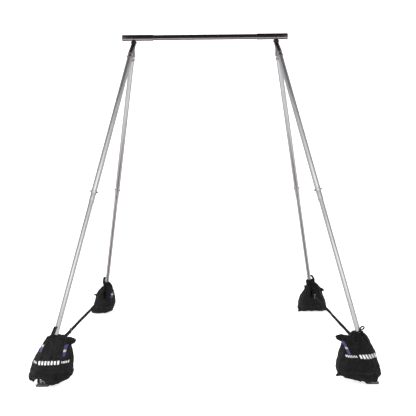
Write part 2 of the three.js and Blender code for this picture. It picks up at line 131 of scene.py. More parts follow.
def grid_faces(rows, columns, closed_rows=False, closed_columns=True):
    """Quads of a grid whose points run along a row first."""
    faces = []
    for i in range(rows if closed_rows else rows - 1):
        for j in range(columns if closed_columns else columns - 1):
            a, b = i * columns + j, i * columns + (j + 1) % columns
            c, d = ((i + 1) % rows) * columns + (j + 1) % columns, ((i + 1) % rows) * columns + j
            faces.append((a, b, c, d))
    return faces


def eased(profile, radius, steps=3):
    """A closed [r, z] outline with each corner off the axis turned into a small arc."""
    out = []
    count = len(profile)
    for i, (r, z) in enumerate(profile):
        here = Vector((r, z))
        before, after = Vector(profile[i - 1]), Vector(profile[(i + 1) % count])
        reach = min(radius, (here - before).length / 2.2, (after - here).length / 2.2)
        if r < 1e-6 or reach < 1e-5:
            out.append((r, z))
            continue
        start = here + (before - here).normalized() * reach
        stop = here + (after - here).normalized() * reach
        for k in range(steps + 1):
            t = k / steps
            p = start.lerp(here, t).lerp(here.lerp(stop, t), t)
            out.append((p.x, p.y))
    return out


def turned(name, profile, material, matrix, ease=0.0008, sides=64):
    """A solid of revolution about the matrix's z axis, from a closed outline of (radius, z)."""
    outline = eased(profile, ease)
    points = [
        (r * math.cos(a), r * math.sin(a), z)
        for r, z in outline
        for a in (2 * math.pi * j / sides for j in range(sides))
    ]
    faces = grid_faces(len(outline), sides, closed_rows=True)
    return link(name, mesh_from(name, points, faces), material, matrix)


def pipe(name, inner, outer, low, high, material, matrix, ease=0.0008):
    return turned(name, [(inner, low), (outer, low), (outer, high), (inner, high)], material, matrix, ease)


def rod(name, radius, low, high, material, matrix, ease=0.0008, sides=64):
    return turned(name, [(0, low), (radius, low), (radius, high), (0, high)], material, matrix, ease, sides)


def merged(name, pieces):
    """Joins pieces into the first one, each keeping its materials."""
    bpy.ops.object.select_all(action="DESELECT")
    for piece in pieces:
        piece.select_set(True)
    bpy.context.view_layer.objects.active = pieces[0]
    bpy.ops.object.join()
    pieces[0].name = name
    return pieces[0]


def bevelled(piece, width=0.0008, segments=2):
    modifier = piece.modifiers.new("bevel", "BEVEL")
    modifier.width, modifier.segments = width, segments
    modifier.limit_method, modifier.angle_limit = "ANGLE", SHARP
    modifier.harden_normals = True
    return piece


# ---- Materials ----------------------------------------------------------------------------------------------
class Shader:
    """A node material with one Principled shader and short helpers to feed it."""

    def __init__(self, name, **constants):
        self.material = bpy.data.materials.new(name)
        self.material.use_nodes = True
        self.tree = self.material.node_tree
        self.shader = self.tree.nodes["Principled BSDF"]
        for socket, value in constants.items():
            self.shader.inputs[socket.replace("_", " ")].default_value = value
        self.place = self.tree.nodes.new("ShaderNodeTexCoord").outputs["Object"]

    def node(self, kind, **values):
        made = self.tree.nodes.new(kind)
        for key, value in values.items():
            if hasattr(made, key):
                setattr(made, key, value)
            else:
                made.inputs[key.replace("_", " ")].default_value = value
        return made

    def join(self, source, target):
        self.tree.links.new(source, target)

    def stretched(self, scale):
        mapping = self.node("ShaderNodeMapping")
        mapping.inputs["Scale"].default_value = scale
        self.join(self.place, mapping.inputs["Vector"])
        return mapping.outputs["Vector"]

    def noise(self, scale, detail=3.0, roughness=0.5, stretch=None):
        made = self.node("ShaderNodeTexNoise")
        made.inputs["Scale"].default_value = scale
        made.inputs["Detail"].default_value = detail
        made.inputs["Roughness"].default_value = roughness
        self.join(self.stretched(stretch) if stretch else self.place, made.inputs["Vector"])
        return made.outputs["Fac"]

    def wave(self, scale, direction, distortion=0.0, profile="SIN"):
        made = self.node("ShaderNodeTexWave", wave_type="BANDS", bands_direction=direction)
        made.wave_profile = profile
        made.inputs["Scale"].default_value = scale
        made.inputs["Distortion"].default_value = distortion
        self.join(self.place, made.inputs["Vector"])
        return made.outputs["Fac"]

    def math(self, operation, a, b):
        made = self.node("ShaderNodeMath", operation=operation)
        for socket, value in zip(made.inputs, (a, b)):
            if isinstance(value, float):
                socket.default_value = value
            else:
                self.join(value, socket)
        return made.outputs["Value"]

    def spread(self, source, low, high, start=0.0, stop=1.0):
        made = self.node("ShaderNodeMapRange")
        for key, value in (("From Min", start), ("From Max", stop), ("To Min", low), ("To Max", high)):
            made.inputs[key].default_value = value
        self.join(source, made.inputs["Value"])
        return made.outputs["Result"]

    def ramp(self, source, *stops):
        made = self.node("ShaderNodeValToRGB")
        ramp = made.color_ramp
        while len(ramp.elements) < len(stops):
            ramp.elements.new(0.5)
        for element, (position, color) in zip(ramp.elements, stops):
            element.position, element.color = position, (*color, 1)
        self.join(source, made.inputs["Fac"])
        return made.outputs["Color"]

    def feed(self, socket, source):
        self.join(source, self.shader.inputs[socket])

    def bump(self, height, distance, strength=1.0):
        made = self.node("ShaderNodeBump")
        made.inputs["Distance"].default_value = distance
        made.inputs["Strength"].default_value = strength
        self.join(height, made.inputs["Height"])
        self.join(made.outputs["Normal"], self.shader.inputs["Normal"])


def black_gloss():
    """Smoky black plating: a dark mirror with a warm cast and fine handling marks."""
    s = Shader("black_gloss", Metallic=1.0)
    wear = s.noise(38.0, 5.0, 0.62)
    s.feed("Base Color", s.ramp(wear, (0.25, (0.40, 0.345, 0.35)), (0.7, (0.48, 0.42, 0.43)), (0.86, (0.54, 0.48, 0.49))))
    s.feed("Roughness", s.spread(s.noise(90.0, 4.0), 0.09, 0.17))
    s.bump(s.noise(420.0, 2.0), 0.00004)
    return s.material


def aluminium():
    s = Shader("aluminium", Metallic=1.0)
    drawn = s.noise(30.0, 4.0, 0.6, stretch=(9.0, 9.0, 0.22))
    s.feed("Base Color", s.ramp(drawn, (0.3, (0.60, 0.60, 0.61)), (0.5, (0.72, 0.72, 0.73)), (0.72, (0.80, 0.79, 0.80))))
    s.feed("Roughness", s.spread(drawn, 0.24, 0.40, 0.3, 0.7))
    s.bump(drawn, 0.00008)
    return s.material


def steel(name, low, high, roughness):
    s = Shader(name, Metallic=1.0)
    spots = s.noise(160.0, 5.0, 0.65)
    s.feed("Base Color", s.ramp(spots, (0.32, low), (0.66, high)))
    s.feed("Roughness", s.spread(s.noise(60.0, 3.0), roughness - 0.07, roughness + 0.1))
    s.bump(spots, 0.00010)
    return s.material


def rubber():
    s = Shader("rubber", Specular_IOR_Level=0.35)
    grain = s.noise(520.0, 3.0, 0.6)
    s.feed("Base Color", s.ramp(s.noise(24.0, 4.0), (0.35, (0.012, 0.012, 0.012)), (0.75, (0.035, 0.034, 0.033))))
    s.feed("Roughness", s.spread(grain, 0.62, 0.86))
    s.bump(grain, 0.00025)
    return s.material


def nylon():
    """Coated pack cloth: a fine square weave, a soft sheen on the folds and a little dust."""
    s = Shader("nylon", Sheen_Weight=0.03, Sheen_Roughness=0.4, Specular_IOR_Level=0.34)
    s.shader.inputs["Sheen Tint"].default_value = (0.75, 0.72, 0.74, 1)
    weave = s.math("ADD", s.wave(260.0, "X"), s.math("ADD", s.wave(260.0, "Z"), s.wave(260.0, "Y")))
    cloudy = s.noise(9.0, 5.0, 0.6)
    s.feed("Base Color", s.ramp(cloudy, (0.3, (0.0028, 0.0025, 0.0027)), (0.62, (0.0052, 0.0046, 0.0049)), (0.85, (0.011, 0.010, 0.0104))))
    s.feed("Roughness", s.spread(s.noise(34.0, 4.0), 0.46, 0.74))
    creases = s.noise(26.0, 6.0, 0.62)
    s.bump(s.math("ADD", s.math("MULTIPLY", weave, 0.03), creases), 0.014, 1.0)
    return s.material


def webbing(name="webbing"):
    s = Shader(name, Specular_IOR_Level=0.12)
    ribs = s.wave(190.0, "Y", 0.4)
    s.feed("Base Color", s.ramp(s.noise(55.0, 3.0), (0.3, (0.008, 0.0075, 0.008)), (0.75, (0.018, 0.017, 0.018))))
    s.feed("Roughness", s.spread(ribs, 0.78, 0.95))
    s.bump(s.math("ADD", ribs, s.wave(150.0, "Z")), 0.0005, 0.7)
    return s.material


def stripe_tape():
    s = Shader("stripe_tape", Specular_IOR_Level=0.6, Coat_Weight=0.25)
    beads = s.noise(700.0, 2.0)
    s.feed("Base Color", s.ramp(s.noise(40.0, 4.0), (0.3, (0.52, 0.51, 0.50)), (0.7, (0.80, 0.79, 0.77))))
    s.feed("Roughness", s.spread(beads, 0.3, 0.55))
    s.bump(beads, 0.0001)
    return s.material


def label_cloth(name, low, high):
    s = Shader(name, Sheen_Weight=0.2)
    weave = s.wave(420.0, "Z")
    s.feed("Base Color", s.ramp(s.noise(60.0, 3.0), (0.3, low), (0.7, high)))
    s.feed("Roughness", s.spread(weave, 0.55, 0.75))
    s.bump(weave, 0.0003)
    return s.material


BLACK_GLOSS = black_gloss()
ALUMINIUM = aluminium()
ZINC = steel("zinc", (0.45, 0.46, 0.48), (0.68, 0.69, 0.72), 0.28)
DARK_STEEL = steel("dark_steel", (0.028, 0.028, 0.03), (0.085, 0.085, 0.09), 0.34)
RUBBER = rubber()
NYLON = nylon()
WEBBING = webbing()
STRIPE_TAPE = stripe_tape()
LABEL_BLUE = label_cloth("label_blue", (0.022, 0.020, 0.085), (0.055, 0.050, 0.19))
LABEL_PALE = label_cloth("label_pale", (0.34, 0.29, 0.27), (0.56, 0.48, 0.46))


# ---- Legs: the line of each one, worked out from its joints ---------------------------------------------------
class Leg:
    """Where a leg stands, and the frame in which its parts are made: z runs up the leg, x stays level."""

    def __init__(self, label):
        self.label = label
        self.hinge = Vector(JOINTS[f"{label}_fold"]["pos_m"])
        self.foot = Vector(JOINTS[f"{label}_foot_swivel"]["pos_m"])
        self.side = 1 if self.foot.x > 0 else -1
        self.end = 1 if self.foot.y > 0 else -1
        self.up = (self.hinge - self.foot).normalized()
        self.length = (self.hinge - self.foot).length
        self.across = Vector((self.up.z, 0, -self.up.x)).normalized()
        self.back = self.up.cross(self.across)
        self.from_hinge = basis(self.across, self.back, self.up, self.hinge)
        self.from_foot = basis(self.across, self.back, self.up, self.foot)
        lean = Vector((0, self.up.y, self.up.z)).normalized()
        self.leaning = basis(X, lean.cross(X), lean, self.hinge)
        self.leaning_foot = basis(X, lean.cross(X), lean, self.foot)

    def at(self, height):
        """The point on the leg's axis at a height above the floor."""
        return self.foot.lerp(self.hinge, (height - self.foot.z) / (self.hinge.z - self.foot.z))

    def body(self, part):
        return f"{self.label}_{part}"


LEGS = [Leg(f"{end}_{side}") for end in ("front", "rear") for side in ("left", "right")]


def hand_over(piece, body, slot, *nodes):
    """The piece stands for the CAD nodes and rides on the body. The slot argument is not used."""
    if nodes:
        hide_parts(*nodes)
    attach(piece, body)
    return piece


def faces_along_z(node, frame_matrix):
    """The lowest and highest z of a CAD node in a leg's own frame."""
    inverse = frame_matrix.inverted()
    heights = [(inverse @ v.co).z for v in frame["nodes"][node].data.vertices]
    return min(heights), max(heights)


def reach(node, frame_matrix):
    """The largest distance of a CAD node's points from a leg's axis."""
    inverse = frame_matrix.inverted()
    return max((inverse @ v.co).xy.length for v in frame["nodes"][node].data.vertices)


# ---- Fasteners -------------------------------------------------------------------------------------------------
def hexagon(name, across_corners, low, high, material, matrix, bore=0.0):
    """A nut or a bolt head about the matrix's z axis, with its corners turned off at both ends."""
    radius, cut = across_corners, (high - low) * 0.16
    sides, rings = 48, []
    flat = radius * math.cos(math.pi / 6)

    def corner(angle):
        away = (angle + math.pi / 6) % (math.pi / 3) - math.pi / 6
        return flat / math.cos(away)

    for z, limit in ((low, flat * 0.99), (low + cut, radius), (high - cut, radius), (high, flat * 0.96)):
        rings.append([(min(corner(2 * math.pi * j / sides), limit), 2 * math.pi * j / sides, z) for j in range(sides)])
    points = [(r * math.cos(a), r * math.sin(a), z) for ring in rings for r, a, z in ring]
    faces = grid_faces(len(rings), sides)
    if bore:
        inner = [(bore * math.cos(a), bore * math.sin(a), z) for z in (high, low) for a in (2 * math.pi * j / sides for j in range(sides))]
        points += inner
        count = len(rings)
        for level in (count - 1, count):
            for j in range(sides):
                a, b = level * sides + j, level * sides + (j + 1) % sides
                faces.append((a, b, b + sides, a + sides))
        top = (count + 1) * sides
        for j in range(sides):
            a, b = top + j, top + (j + 1) % sides
            faces.append((a, b, (j + 1) % sides, j))
    else:
        faces.append(tuple(range(sides))[::-1])
        faces.append(tuple((len(rings) - 1) * sides + j for j in range(sides)))
    return link(name, mesh_from(name, points, faces), material, matrix)


def thread(name, radius, low, high, material, matrix, pitch=0.002, depth=0.0006):
    """A threaded shank about the matrix's z axis: rings of crests and roots with a chamfered tip."""
    turns = int((high - low) / pitch)
    outline = [(0, low), (radius - 2 * depth, low)]
    for k in range(turns):
        z = low + (k + 0.5) * pitch
        outline += [(radius, z), (radius - depth, z + pitch / 2)]
    outline += [(radius - depth, high), (0, high)]
    points = [(r * math.cos(a), r * math.sin(a), z) for r, z in outline for a in (2 * math.pi * j / 32 for j in range(32))]
    return link(name, mesh_from(name, points, grid_faces(len(outline), 32, closed_rows=True)), material, matrix)


# ---- Crossbar and hinge heads ---------------------------------------------------------------------------------
def make_crossbar():
    low, high = (Vector(corner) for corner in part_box("crossbar"))
    middle = (low + high) / 2
    along = basis(Y, Z, X, Vector((0, middle.y, middle.z)))
    radius = (high.z - low.z) / 2
    bar = pipe("crossbar_tube", radius - 0.003, radius, low.x, high.x, BLACK_GLOSS, along)
    hand_over(bar, "crossbar", "black_gloss", "crossbar")


def round_end_plate(name, radius, low_x, high_x, reach_z, half_width, material, matrix, hole=0.0):
    """A plate across x with a round end about the origin and a straight end at reach_z. The hole argument is not used.
    """
    steps = 24
    sign = -1 if reach_z > 0 else 1
    outline = [(radius * math.cos(math.pi * k / steps), sign * radius * math.sin(math.pi * k / steps)) for k in range(steps + 1)]
    outline += [(-half_width, reach_z), (half_width, reach_z)]
    bm = bmesh.new()
    rim = [bm.verts.new((low_x, y, z)) for y, z in outline]
    face = bm.faces.new(rim)
    pushed = bmesh.ops.extrude_face_region(bm, geom=[face])
    moved = [g for g in pushed["geom"] if isinstance(g, bmesh.types.BMVert)]
    bmesh.ops.translate(bm, verts=moved, vec=(high_x - low_x, 0, 0))
    bmesh.ops.recalc_face_normals(bm, faces=bm.faces)
    mesh = bpy.data.meshes.new(name)
    bm.to_mesh(mesh)
    bm.free()
    mesh.shade_smooth()
    mesh.set_sharp_from_angle(angle=SHARP)
    return bevelled(link(name, mesh, material, matrix), 0.0012)


def make_head(side):
    """The sleeve at one end of the crossbar, the saddle and lug of its hinge, the end cap, the bolt and its nut."""
    label = "left" if side < 0 else "right"
    hinge_z = LEGS[0].hinge.z
    hinge_x = sum(abs(leg.hinge.x) for leg in LEGS) / len(LEGS)
    bar_low, bar_high = (Vector(corner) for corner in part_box("crossbar"))
    bar_z, bar_radius = (bar_low.z + bar_high.z) / 2, (bar_high.z - bar_low.z) / 2
    low, high = (Vector(corner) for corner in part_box(f"head_{label}"))
    sleeve_radius = high.z - bar_z
    outward = basis(Y * side, Z, X * side, Vector((0, 0, bar_z)))
    ends = sorted(abs(x) for x in (low.x, high.x))
    sleeve = pipe(f"sleeve_{label}", bar_radius + 0.0004, sleeve_radius, ends[0], ends[1], BLACK_GLOSS, outward, 0.0015)
    hand_over(sleeve, "crossbar", "black_gloss", f"head_{label}")
    at_hinge = basis(X * side, Y * side, Z, Vector((side * hinge_x, 0, hinge_z)))
    for name, x0, x1 in (("outer", LUG_INNER, LUG_OUTER), ("inner", -LUG_OUTER, -LUG_INNER)):
        reach_up = bar_z - hinge_z - bar_radius + 0.006
        lug = round_end_plate(f"lug_{label}_{name}", TONGUE_RADIUS, x0, x1, reach_up, 0.020, BLACK_GLOSS, at_hinge)
        hand_over(lug, "crossbar", "black_gloss")
    hand_over(saddle(f"saddle_{label}", sleeve_radius, side * hinge_x, bar_z), "crossbar", "black_gloss")
    cap_low, cap_high = (Vector(corner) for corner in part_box(f"end_cap_{label}"))
    cap_end = max(abs(cap_low.x), abs(cap_high.x))
    cap = turned(
        f"cap_{label}",
        [(0, ends[1] - 0.018), (bar_radius - 0.0036, ends[1] - 0.018), (bar_radius - 0.0036, ends[1] + 0.0004),
         (sleeve_radius - 0.0005, ends[1] + 0.0004), (sleeve_radius - 0.0012, cap_end - 0.0008), (0.016, cap_end), (0, cap_end)],
        RUBBER, outward, 0.0012,
    )
    hand_over(cap, "crossbar", "rubber", f"end_cap_{label}")
    pin = basis(Y * side, Z, X * side, Vector((side * hinge_x, 0, hinge_z)))
    seat = LUG_OUTER + 0.0004
    bolt = merged(f"bolt_{label}", [
        hexagon("bolt_head", 0.0118, seat + 0.0012, seat + 0.0062, DARK_STEEL, pin),
        pipe("bolt_washer", 0.0082, 0.0128, seat, seat + 0.0012, DARK_STEEL, pin, 0.0003),
        thread("bolt_shank", 0.008, -seat - 0.0076, seat + 0.001, DARK_STEEL, pin),
    ])
    hand_over(bolt, "crossbar", "dark_steel", f"hinge_bolt_{label}")
    nut = hexagon(f"nut_{label}", 0.0122, -seat - 0.006, -seat, DARK_STEEL, pin, bore=0.0084)
    hand_over(nut, "crossbar", "dark_steel", f"hinge_nut_{label}")


def saddle(name, sleeve_radius, middle_x, bar_z):
    """The half shell welded under a sleeve, whose edges are eased into it."""
    steps, stations = 40, ((-0.0205, 0.0), (-0.019, 0.0024), (-0.0165, 0.003), (0.0165, 0.003), (0.019, 0.0024), (0.0205, 0.0))
    points = []
    for x, rise in stations:
        for k in range(steps + 1):
            a = math.pi * k / steps
            radius = sleeve_radius - 0.0006 + (rise + 0.0006) * min(1.0, 9 * math.sin(a))
            points.append((middle_x + x, radius * math.cos(a), bar_z - radius * math.sin(a)))
    return link(name, mesh_from(name, points, grid_faces(len(stations), steps + 1, closed_columns=False)), BLACK_GLOSS)


# ---- Leg metalwork ---------------------------------------------------------------------------------------------
SOCKET_RIM_TOP, SOCKET_END, SOCKET_RADIUS = 0.132, 0.140, 0.0295
TONGUE_RADIUS, TONGUE_HALF, TONGUE_REACH, TONGUE_END_HALF = 0.016, 0.0065, 0.054, 0.013
FORK_HALF, FORK_SHOULDER_HALF, FORK_GAP_HALF, FORK_FLARE_TOP, SLOT_END = 0.0165, 0.022, 0.0069, 0.018, 0.052
LUG_INNER, LUG_OUTER = 0.0169, 0.0205


def make_socket(leg):
    """A tapered socket. A rear leg's ends in a tongue; a front leg's ends in a fork that holds that tongue."""
    is_fork = leg.end < 0
    half, start = (FORK_SHOULDER_HALF, FORK_FLARE_TOP) if is_fork else (TONGUE_HALF, TONGUE_REACH - 0.002)
    sheets = [(-FORK_HALF, -FORK_GAP_HALF), (FORK_GAP_HALF, FORK_HALF)] if is_fork else [(-TONGUE_HALF, TONGUE_HALF)]
    plates = [
        round_end_plate("tongue", TONGUE_RADIUS, x0, x1, -TONGUE_REACH, TONGUE_END_HALF, BLACK_GLOSS, leg.leaning)
        for x0, x1 in sheets
    ]
    to_leaning = leg.leaning.inverted() @ leg.from_hinge
    sides, rows = 64, 14
    points = []
    for i in range(rows + 1):
        t = i / rows
        flare = t * t * (3 - 2 * t)
        for j in range(sides):
            a = 2 * math.pi * j / sides
            square = (abs(math.cos(a)) ** 4 + abs(math.sin(a)) ** 4) ** -0.25
            top = Vector((half * math.cos(a) * square, TONGUE_END_HALF * math.sin(a) * square, -start))
            rim = to_leaning @ Vector((SOCKET_RADIUS * math.cos(a), SOCKET_RADIUS * math.sin(a), -SOCKET_RIM_TOP))
            across = t if is_fork else t * 0.78 + flare * 0.22
            p = top.lerp(rim, t)
            p.x, p.y = top.x + (rim.x - top.x) * across, top.y + (rim.y - top.y) * across
            points.append(p)
    faces = grid_faces(rows + 1, sides)
    faces.append(tuple(range(sides))[::-1])
    faces.append(tuple(rows * sides + j for j in range(sides)))
    flare = link("flare", mesh_from("flare", points, faces), BLACK_GLOSS, leg.leaning)
    if is_fork:
        slot_size = Vector((FORK_GAP_HALF * 2, 0.09, SLOT_END + 0.04))
        corners = [Vector((x, y, z)) / 2 for x in (-1, 1) for y in (-1, 1) for z in (-1, 1)]
        box = [(c.x * slot_size.x, c.y * slot_size.y, c.z * slot_size.z + 0.04 - slot_size.z / 2) for c in corners]
        sides_of_box = [(0, 1, 3, 2), (4, 6, 7, 5), (0, 4, 5, 1), (2, 3, 7, 6), (0, 2, 6, 4), (1, 5, 7, 3)]
        slot = link("slot", mesh_from("slot", box, sides_of_box, smooth=False), BLACK_GLOSS, leg.leaning)
        bore_out = flare.modifiers.new("slot", "BOOLEAN")
        bore_out.operation, bore_out.object, bore_out.solver = "DIFFERENCE", slot, "EXACT"
        apply_modifiers(flare)
        bpy.data.objects.remove(slot)
        flare.data.shade_smooth()
        flare.data.set_sharp_from_angle(angle=SHARP)
    rim = pipe("rim", 0.0220, SOCKET_RADIUS, -SOCKET_END, -SOCKET_RIM_TOP + 0.0006, BLACK_GLOSS, leg.from_hinge, 0.002)
    spigot = rod("spigot", 0.022, -0.203, -SOCKET_RIM_TOP, BLACK_GLOSS, leg.from_hinge)
    for plate in plates:
        apply_modifiers(plate)
    socket = merged(f"{leg.label}_socket_shell", [flare, *plates, rim, spigot])
    hand_over(socket, leg.body("upper_leg"), "black_gloss", f"{leg.label}_socket")


def apply_modifiers(piece):
    bpy.context.view_layer.update()
    graph = bpy.context.evaluated_depsgraph_get()
    mesh = bpy.data.meshes.new_from_object(piece.evaluated_get(graph))
    piece.modifiers.clear()
    piece.data = mesh


def sideways(leg, distance, sign):
    """A frame on the leg's axis, at a distance below the hinge, whose z axis points across the rig."""
    return basis(leg.back * sign, leg.up, leg.across * sign, leg.hinge - leg.up * distance)


def make_collar(leg):
    low, high = faces_along_z(f"{leg.label}_collar", leg.from_hinge)
    band = turned(
        "band",
        [(0.0254, low), (0.0276, low), (0.029, low + 0.003), (0.029, high - 0.003), (0.0276, high), (0.0254, high)],
        BLACK_GLOSS, leg.from_hinge,
    )
    side = sideways(leg, -(low + high) / 2, leg.side)
    screw = merged("screw", [
        rod("screw_boss", 0.0062, 0.0268, 0.0302, BLACK_GLOSS, side, 0.0006, 32),
        turned("screw_head", [(0, 0.0302), (0.0048, 0.0302), (0.0048, 0.033), (0.0026, 0.033), (0.0026, 0.0312), (0, 0.0312)],
               DARK_STEEL, side, 0.0004, 32),
    ])
    collar = merged(f"{leg.label}_collar_band", [band, screw])
    hand_over(collar, leg.body("upper_leg"), "black_gloss", f"{leg.label}_collar")


def make_upper_tube(leg):
    low, high = faces_along_z(f"{leg.label}_upper_tube", leg.from_hinge)
    radius = reach(f"{leg.label}_upper_tube", leg.from_hinge)
    tube = pipe(f"{leg.label}_upper_pipe", radius - 0.0026, radius, low, high, ALUMINIUM, leg.from_hinge, 0.0006)
    hand_over(tube, leg.body("upper_leg"), "aluminium", f"{leg.label}_upper_tube")
    low, high = faces_along_z(f"{leg.label}_adjuster", leg.from_hinge)
    shoulder = faces_along_z(f"{leg.label}_upper_tube", leg.from_hinge)[0] - 0.0004
    bore, sleeve, plug = 0.0211, 0.0235, radius - 0.003
    adjuster = turned(
        "adjuster_sleeve",
        [(bore, low), (sleeve - 0.0012, low), (sleeve, low + 0.0012), (sleeve, low + 0.012), (sleeve - 0.0006, low + 0.0128),
         (sleeve - 0.0006, low + 0.0142), (sleeve, low + 0.015), (sleeve, shoulder), (plug, shoulder), (plug, high), (bore, high)],
        ALUMINIUM, leg.from_hinge, 0.0003,
    )
    inner_side = sideways(leg, -(low + 0.0065), -leg.side)
    screw = turned(
        "set_screw",
        [(0, sleeve - 0.001), (0.0042, sleeve - 0.001), (0.0042, sleeve + 0.0022), (0.0021, sleeve + 0.0022), (0.0021, sleeve + 0.0004), (0, sleeve + 0.0004)],
        DARK_STEEL, inner_side, 0.0003, 32,
    )
    hand_over(merged(f"{leg.label}_adjuster_sleeve", [adjuster, screw]), leg.body("upper_leg"), "aluminium", f"{leg.label}_adjuster")


def make_clamp(leg):
    """A split band clamp with a bolt boss on each side of the leg."""
    centre = sum(faces_along_z(f"{leg.label}_clamp", leg.from_hinge)) / 2
    half = 0.008
    band = turned(
        "clamp_band",
        [(0.0254, centre - half), (0.0262, centre - half), (0.027, centre - half + 0.0014), (0.027, centre + half - 0.0014),
         (0.0262, centre + half), (0.0254, centre + half)],
        ALUMINIUM, leg.from_hinge, 0.0004,
    )
    pieces = [band]
    for sign in (-1, 1):
        side = sideways(leg, -centre, sign)
        pieces.append(turned("boss", [(0, 0.0262), (0.0075, 0.0262), (0.0070, 0.0292), (0, 0.0292)], DARK_STEEL, side, 0.0006, 40))
        if sign == leg.side:
            pieces.append(turned(
                "socket_head",
                [(0, 0.0292), (0.0062, 0.0292), (0.0062, 0.0346), (0.0052, 0.0350), (0.0030, 0.0350), (0.0028, 0.0318), (0, 0.0318)],
                DARK_STEEL, side, 0.0003, 40,
            ))
        else:
            pieces.append(hexagon("clamp_nut", 0.0068, 0.0292, 0.0350, DARK_STEEL, side))
    hand_over(merged(f"{leg.label}_clamp_band", pieces), leg.body("upper_leg"), "dark_steel", f"{leg.label}_clamp")


def make_lower_tube(leg):
    low, high = faces_along_z(f"{leg.label}_lower_tube", leg.from_hinge)
    radius = reach(f"{leg.label}_lower_tube", leg.from_hinge)
    tube = pipe(f"{leg.label}_lower_pipe", radius - 0.0025, radius, low, high, ALUMINIUM, leg.from_hinge, 0.0006)
    hand_over(tube, leg.body("lower_leg"), "aluminium", f"{leg.label}_lower_tube")


# ---- Feet --------------------------------------------------------------------------------------------------------
def make_foot(leg):
    tongue = round_end_plate("foot_plate", 0.011, -0.009, 0.009, 0.034, 0.011, ZINC, leg.leaning_foot)
    apply_modifiers(tongue)
    plug = turned(
        "foot_plug",
        [(0, 0.026), (0.0177, 0.026), (0.0207, 0.030), (0.0207, 0.034), (0.0178, 0.034), (0.0178, 0.094), (0, 0.094)],
        ZINC, leg.from_foot, 0.0006,
    )
    hand_over(merged(f"{leg.label}_foot_plug", [plug, tongue]), leg.body("lower_leg"), "zinc", f"{leg.label}_foot_tongue")

    upright = basis(X, Y, Z, leg.foot)
    sole_low, sole_high = (Vector(corner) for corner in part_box(f"{leg.label}_foot_sole"))
    half_x, half_y = (sole_high.x - sole_low.x) / 2, (sole_high.y - sole_low.y) / 2
    sole_top = sole_high.z - leg.foot.z
    ears = []
    for sign in (-1, 1):
        x0, x1 = sorted((sign * 0.0094, sign * 0.0134))
        ear = round_end_plate("shoe_ear", 0.013, x0, x1, sole_top + 0.0016, 0.018, ZINC, upright)
        apply_modifiers(ear)
        ears.append(ear)
    plate = slab("shoe_plate", half_x - 0.006, half_y - 0.006, 0.016, sole_top + 0.0004, sole_top + 0.0044, 0.0012, ZINC, upright)
    studs = [
        turned("rivet", [(0, 0), (0.0042, 0), (0.0036, 0.0016), (0.0016, 0.0022), (0, 0.0022)], ZINC,
               basis(X, Y, Z, leg.foot + Vector((sx * 0.030, sy * 0.026, sole_top + 0.0044))), 0.0003, 24)
        for sx in (-1, 1) for sy in (-1, 1)
    ]
    hand_over(merged(f"{leg.label}_shoe", [plate, *ears, *studs]), leg.body("foot"), "zinc", f"{leg.label}_foot_shoe")

    floor = -leg.foot.z
    sole = slab("sole", half_x, half_y, 0.022, floor + 0.0016, sole_top, 0.0018, RUBBER, upright)
    treads = [
        slab("tread", half_x * 0.92, 0.0034, 0.0016, floor, floor + 0.0022, 0.0005, RUBBER,
             basis(X, Y, Z, leg.foot + Vector((0, k * 0.012, 0))))
        for k in range(-3, 4)
    ]
    hand_over(merged(f"{leg.label}_sole", [sole, *treads]), leg.body("foot"), "rubber", f"{leg.label}_foot_sole")

    outward = basis(Y * leg.side, Z, X * leg.side, leg.foot)
    lobes, sides, profile = 7, 84, [(0.0, 0.031), (0.55, 0.031), (0.9, 0.0325), (1.0, 0.0355), (1.0, 0.0425), (0.9, 0.0455), (0.5, 0.047), (0.28, 0.0462), (0.0, 0.0462)]
    points = []
    for share, z in profile:
        for j in range(sides):
            a = 2 * math.pi * j / sides
            r = 0.018 * share * (1 - (0.07 * (1 - math.cos(lobes * a)) if share > 0.6 else 0))
            points.append((r * math.cos(a), r * math.sin(a), z))
    knob = link("knob_grip", mesh_from("knob_grip", points, grid_faces(len(profile), sides)), RUBBER, outward)
    stem = thread("knob_stem", 0.005, -0.0218, 0.0312, ZINC, outward, 0.0015, 0.0004)
    nut = hexagon("knob_nut", 0.009, -0.0214, -0.0138, ZINC, outward)
    hand_over(merged(f"{leg.label}_knob", [knob, stem, nut]), leg.body("foot"), "rubber", f"{leg.label}_foot_knob")


def slab(name, half_x, half_y, corner, low, high, ease, material, matrix):
    """A plate with rounded corners and softened edges."""
    outline = []
    for quarter, (sx, sy) in enumerate(((1, 1), (-1, 1), (-1, -1), (1, -1))):
        for k in range(9):
            a = math.pi / 2 * (quarter + k / 8)
            outline.append((sx * (half_x - corner), sy * (half_y - corner), math.cos(a), math.sin(a)))
    points = []
    for inset, z in ((ease, low), (ease * 0.3, low + ease * 0.3), (0, low + ease), (0, high - ease), (ease * 0.3, high - ease * 0.3), (ease, high)):
        points += [(x + c * (corner - inset), y + s * (corner - inset), z) for x, y, c, s in outline]
    count = len(outline)
    faces = grid_faces(6, count)
    faces.append(tuple(range(count))[::-1])
    faces.append(tuple(5 * count + j for j in range(count)))
    return link(name, mesh_from(name, points, faces), material, matrix)


# ---- Soft goods: shared tools --------------------------------------------------------------------------------
def ribbon(name, path, widths, normals, thickness, material, closed=False):
    """A strip of webbing with soft edges along a path. Each step has a half-width vector and a normal."""
    points, section = [], ((-1, -0.5), (-0.96, -1), (0.96, -1), (1, -0.5), (1, 0.5), (0.96, 1), (-0.96, 1), (-1, 0.5))
    for p, w, n in zip(path, widths, normals):
        points += [p + w * a + n * (b * thickness / 2) for a, b in section]
    count = len(section)
    faces = grid_faces(len(path), count, closed_rows=closed)
    if not closed:
        faces.append(tuple(range(count))[::-1])
        faces.append(tuple((len(path) - 1) * count + j for j in range(count)))
    return link(name, mesh_from(name, points, faces), material)


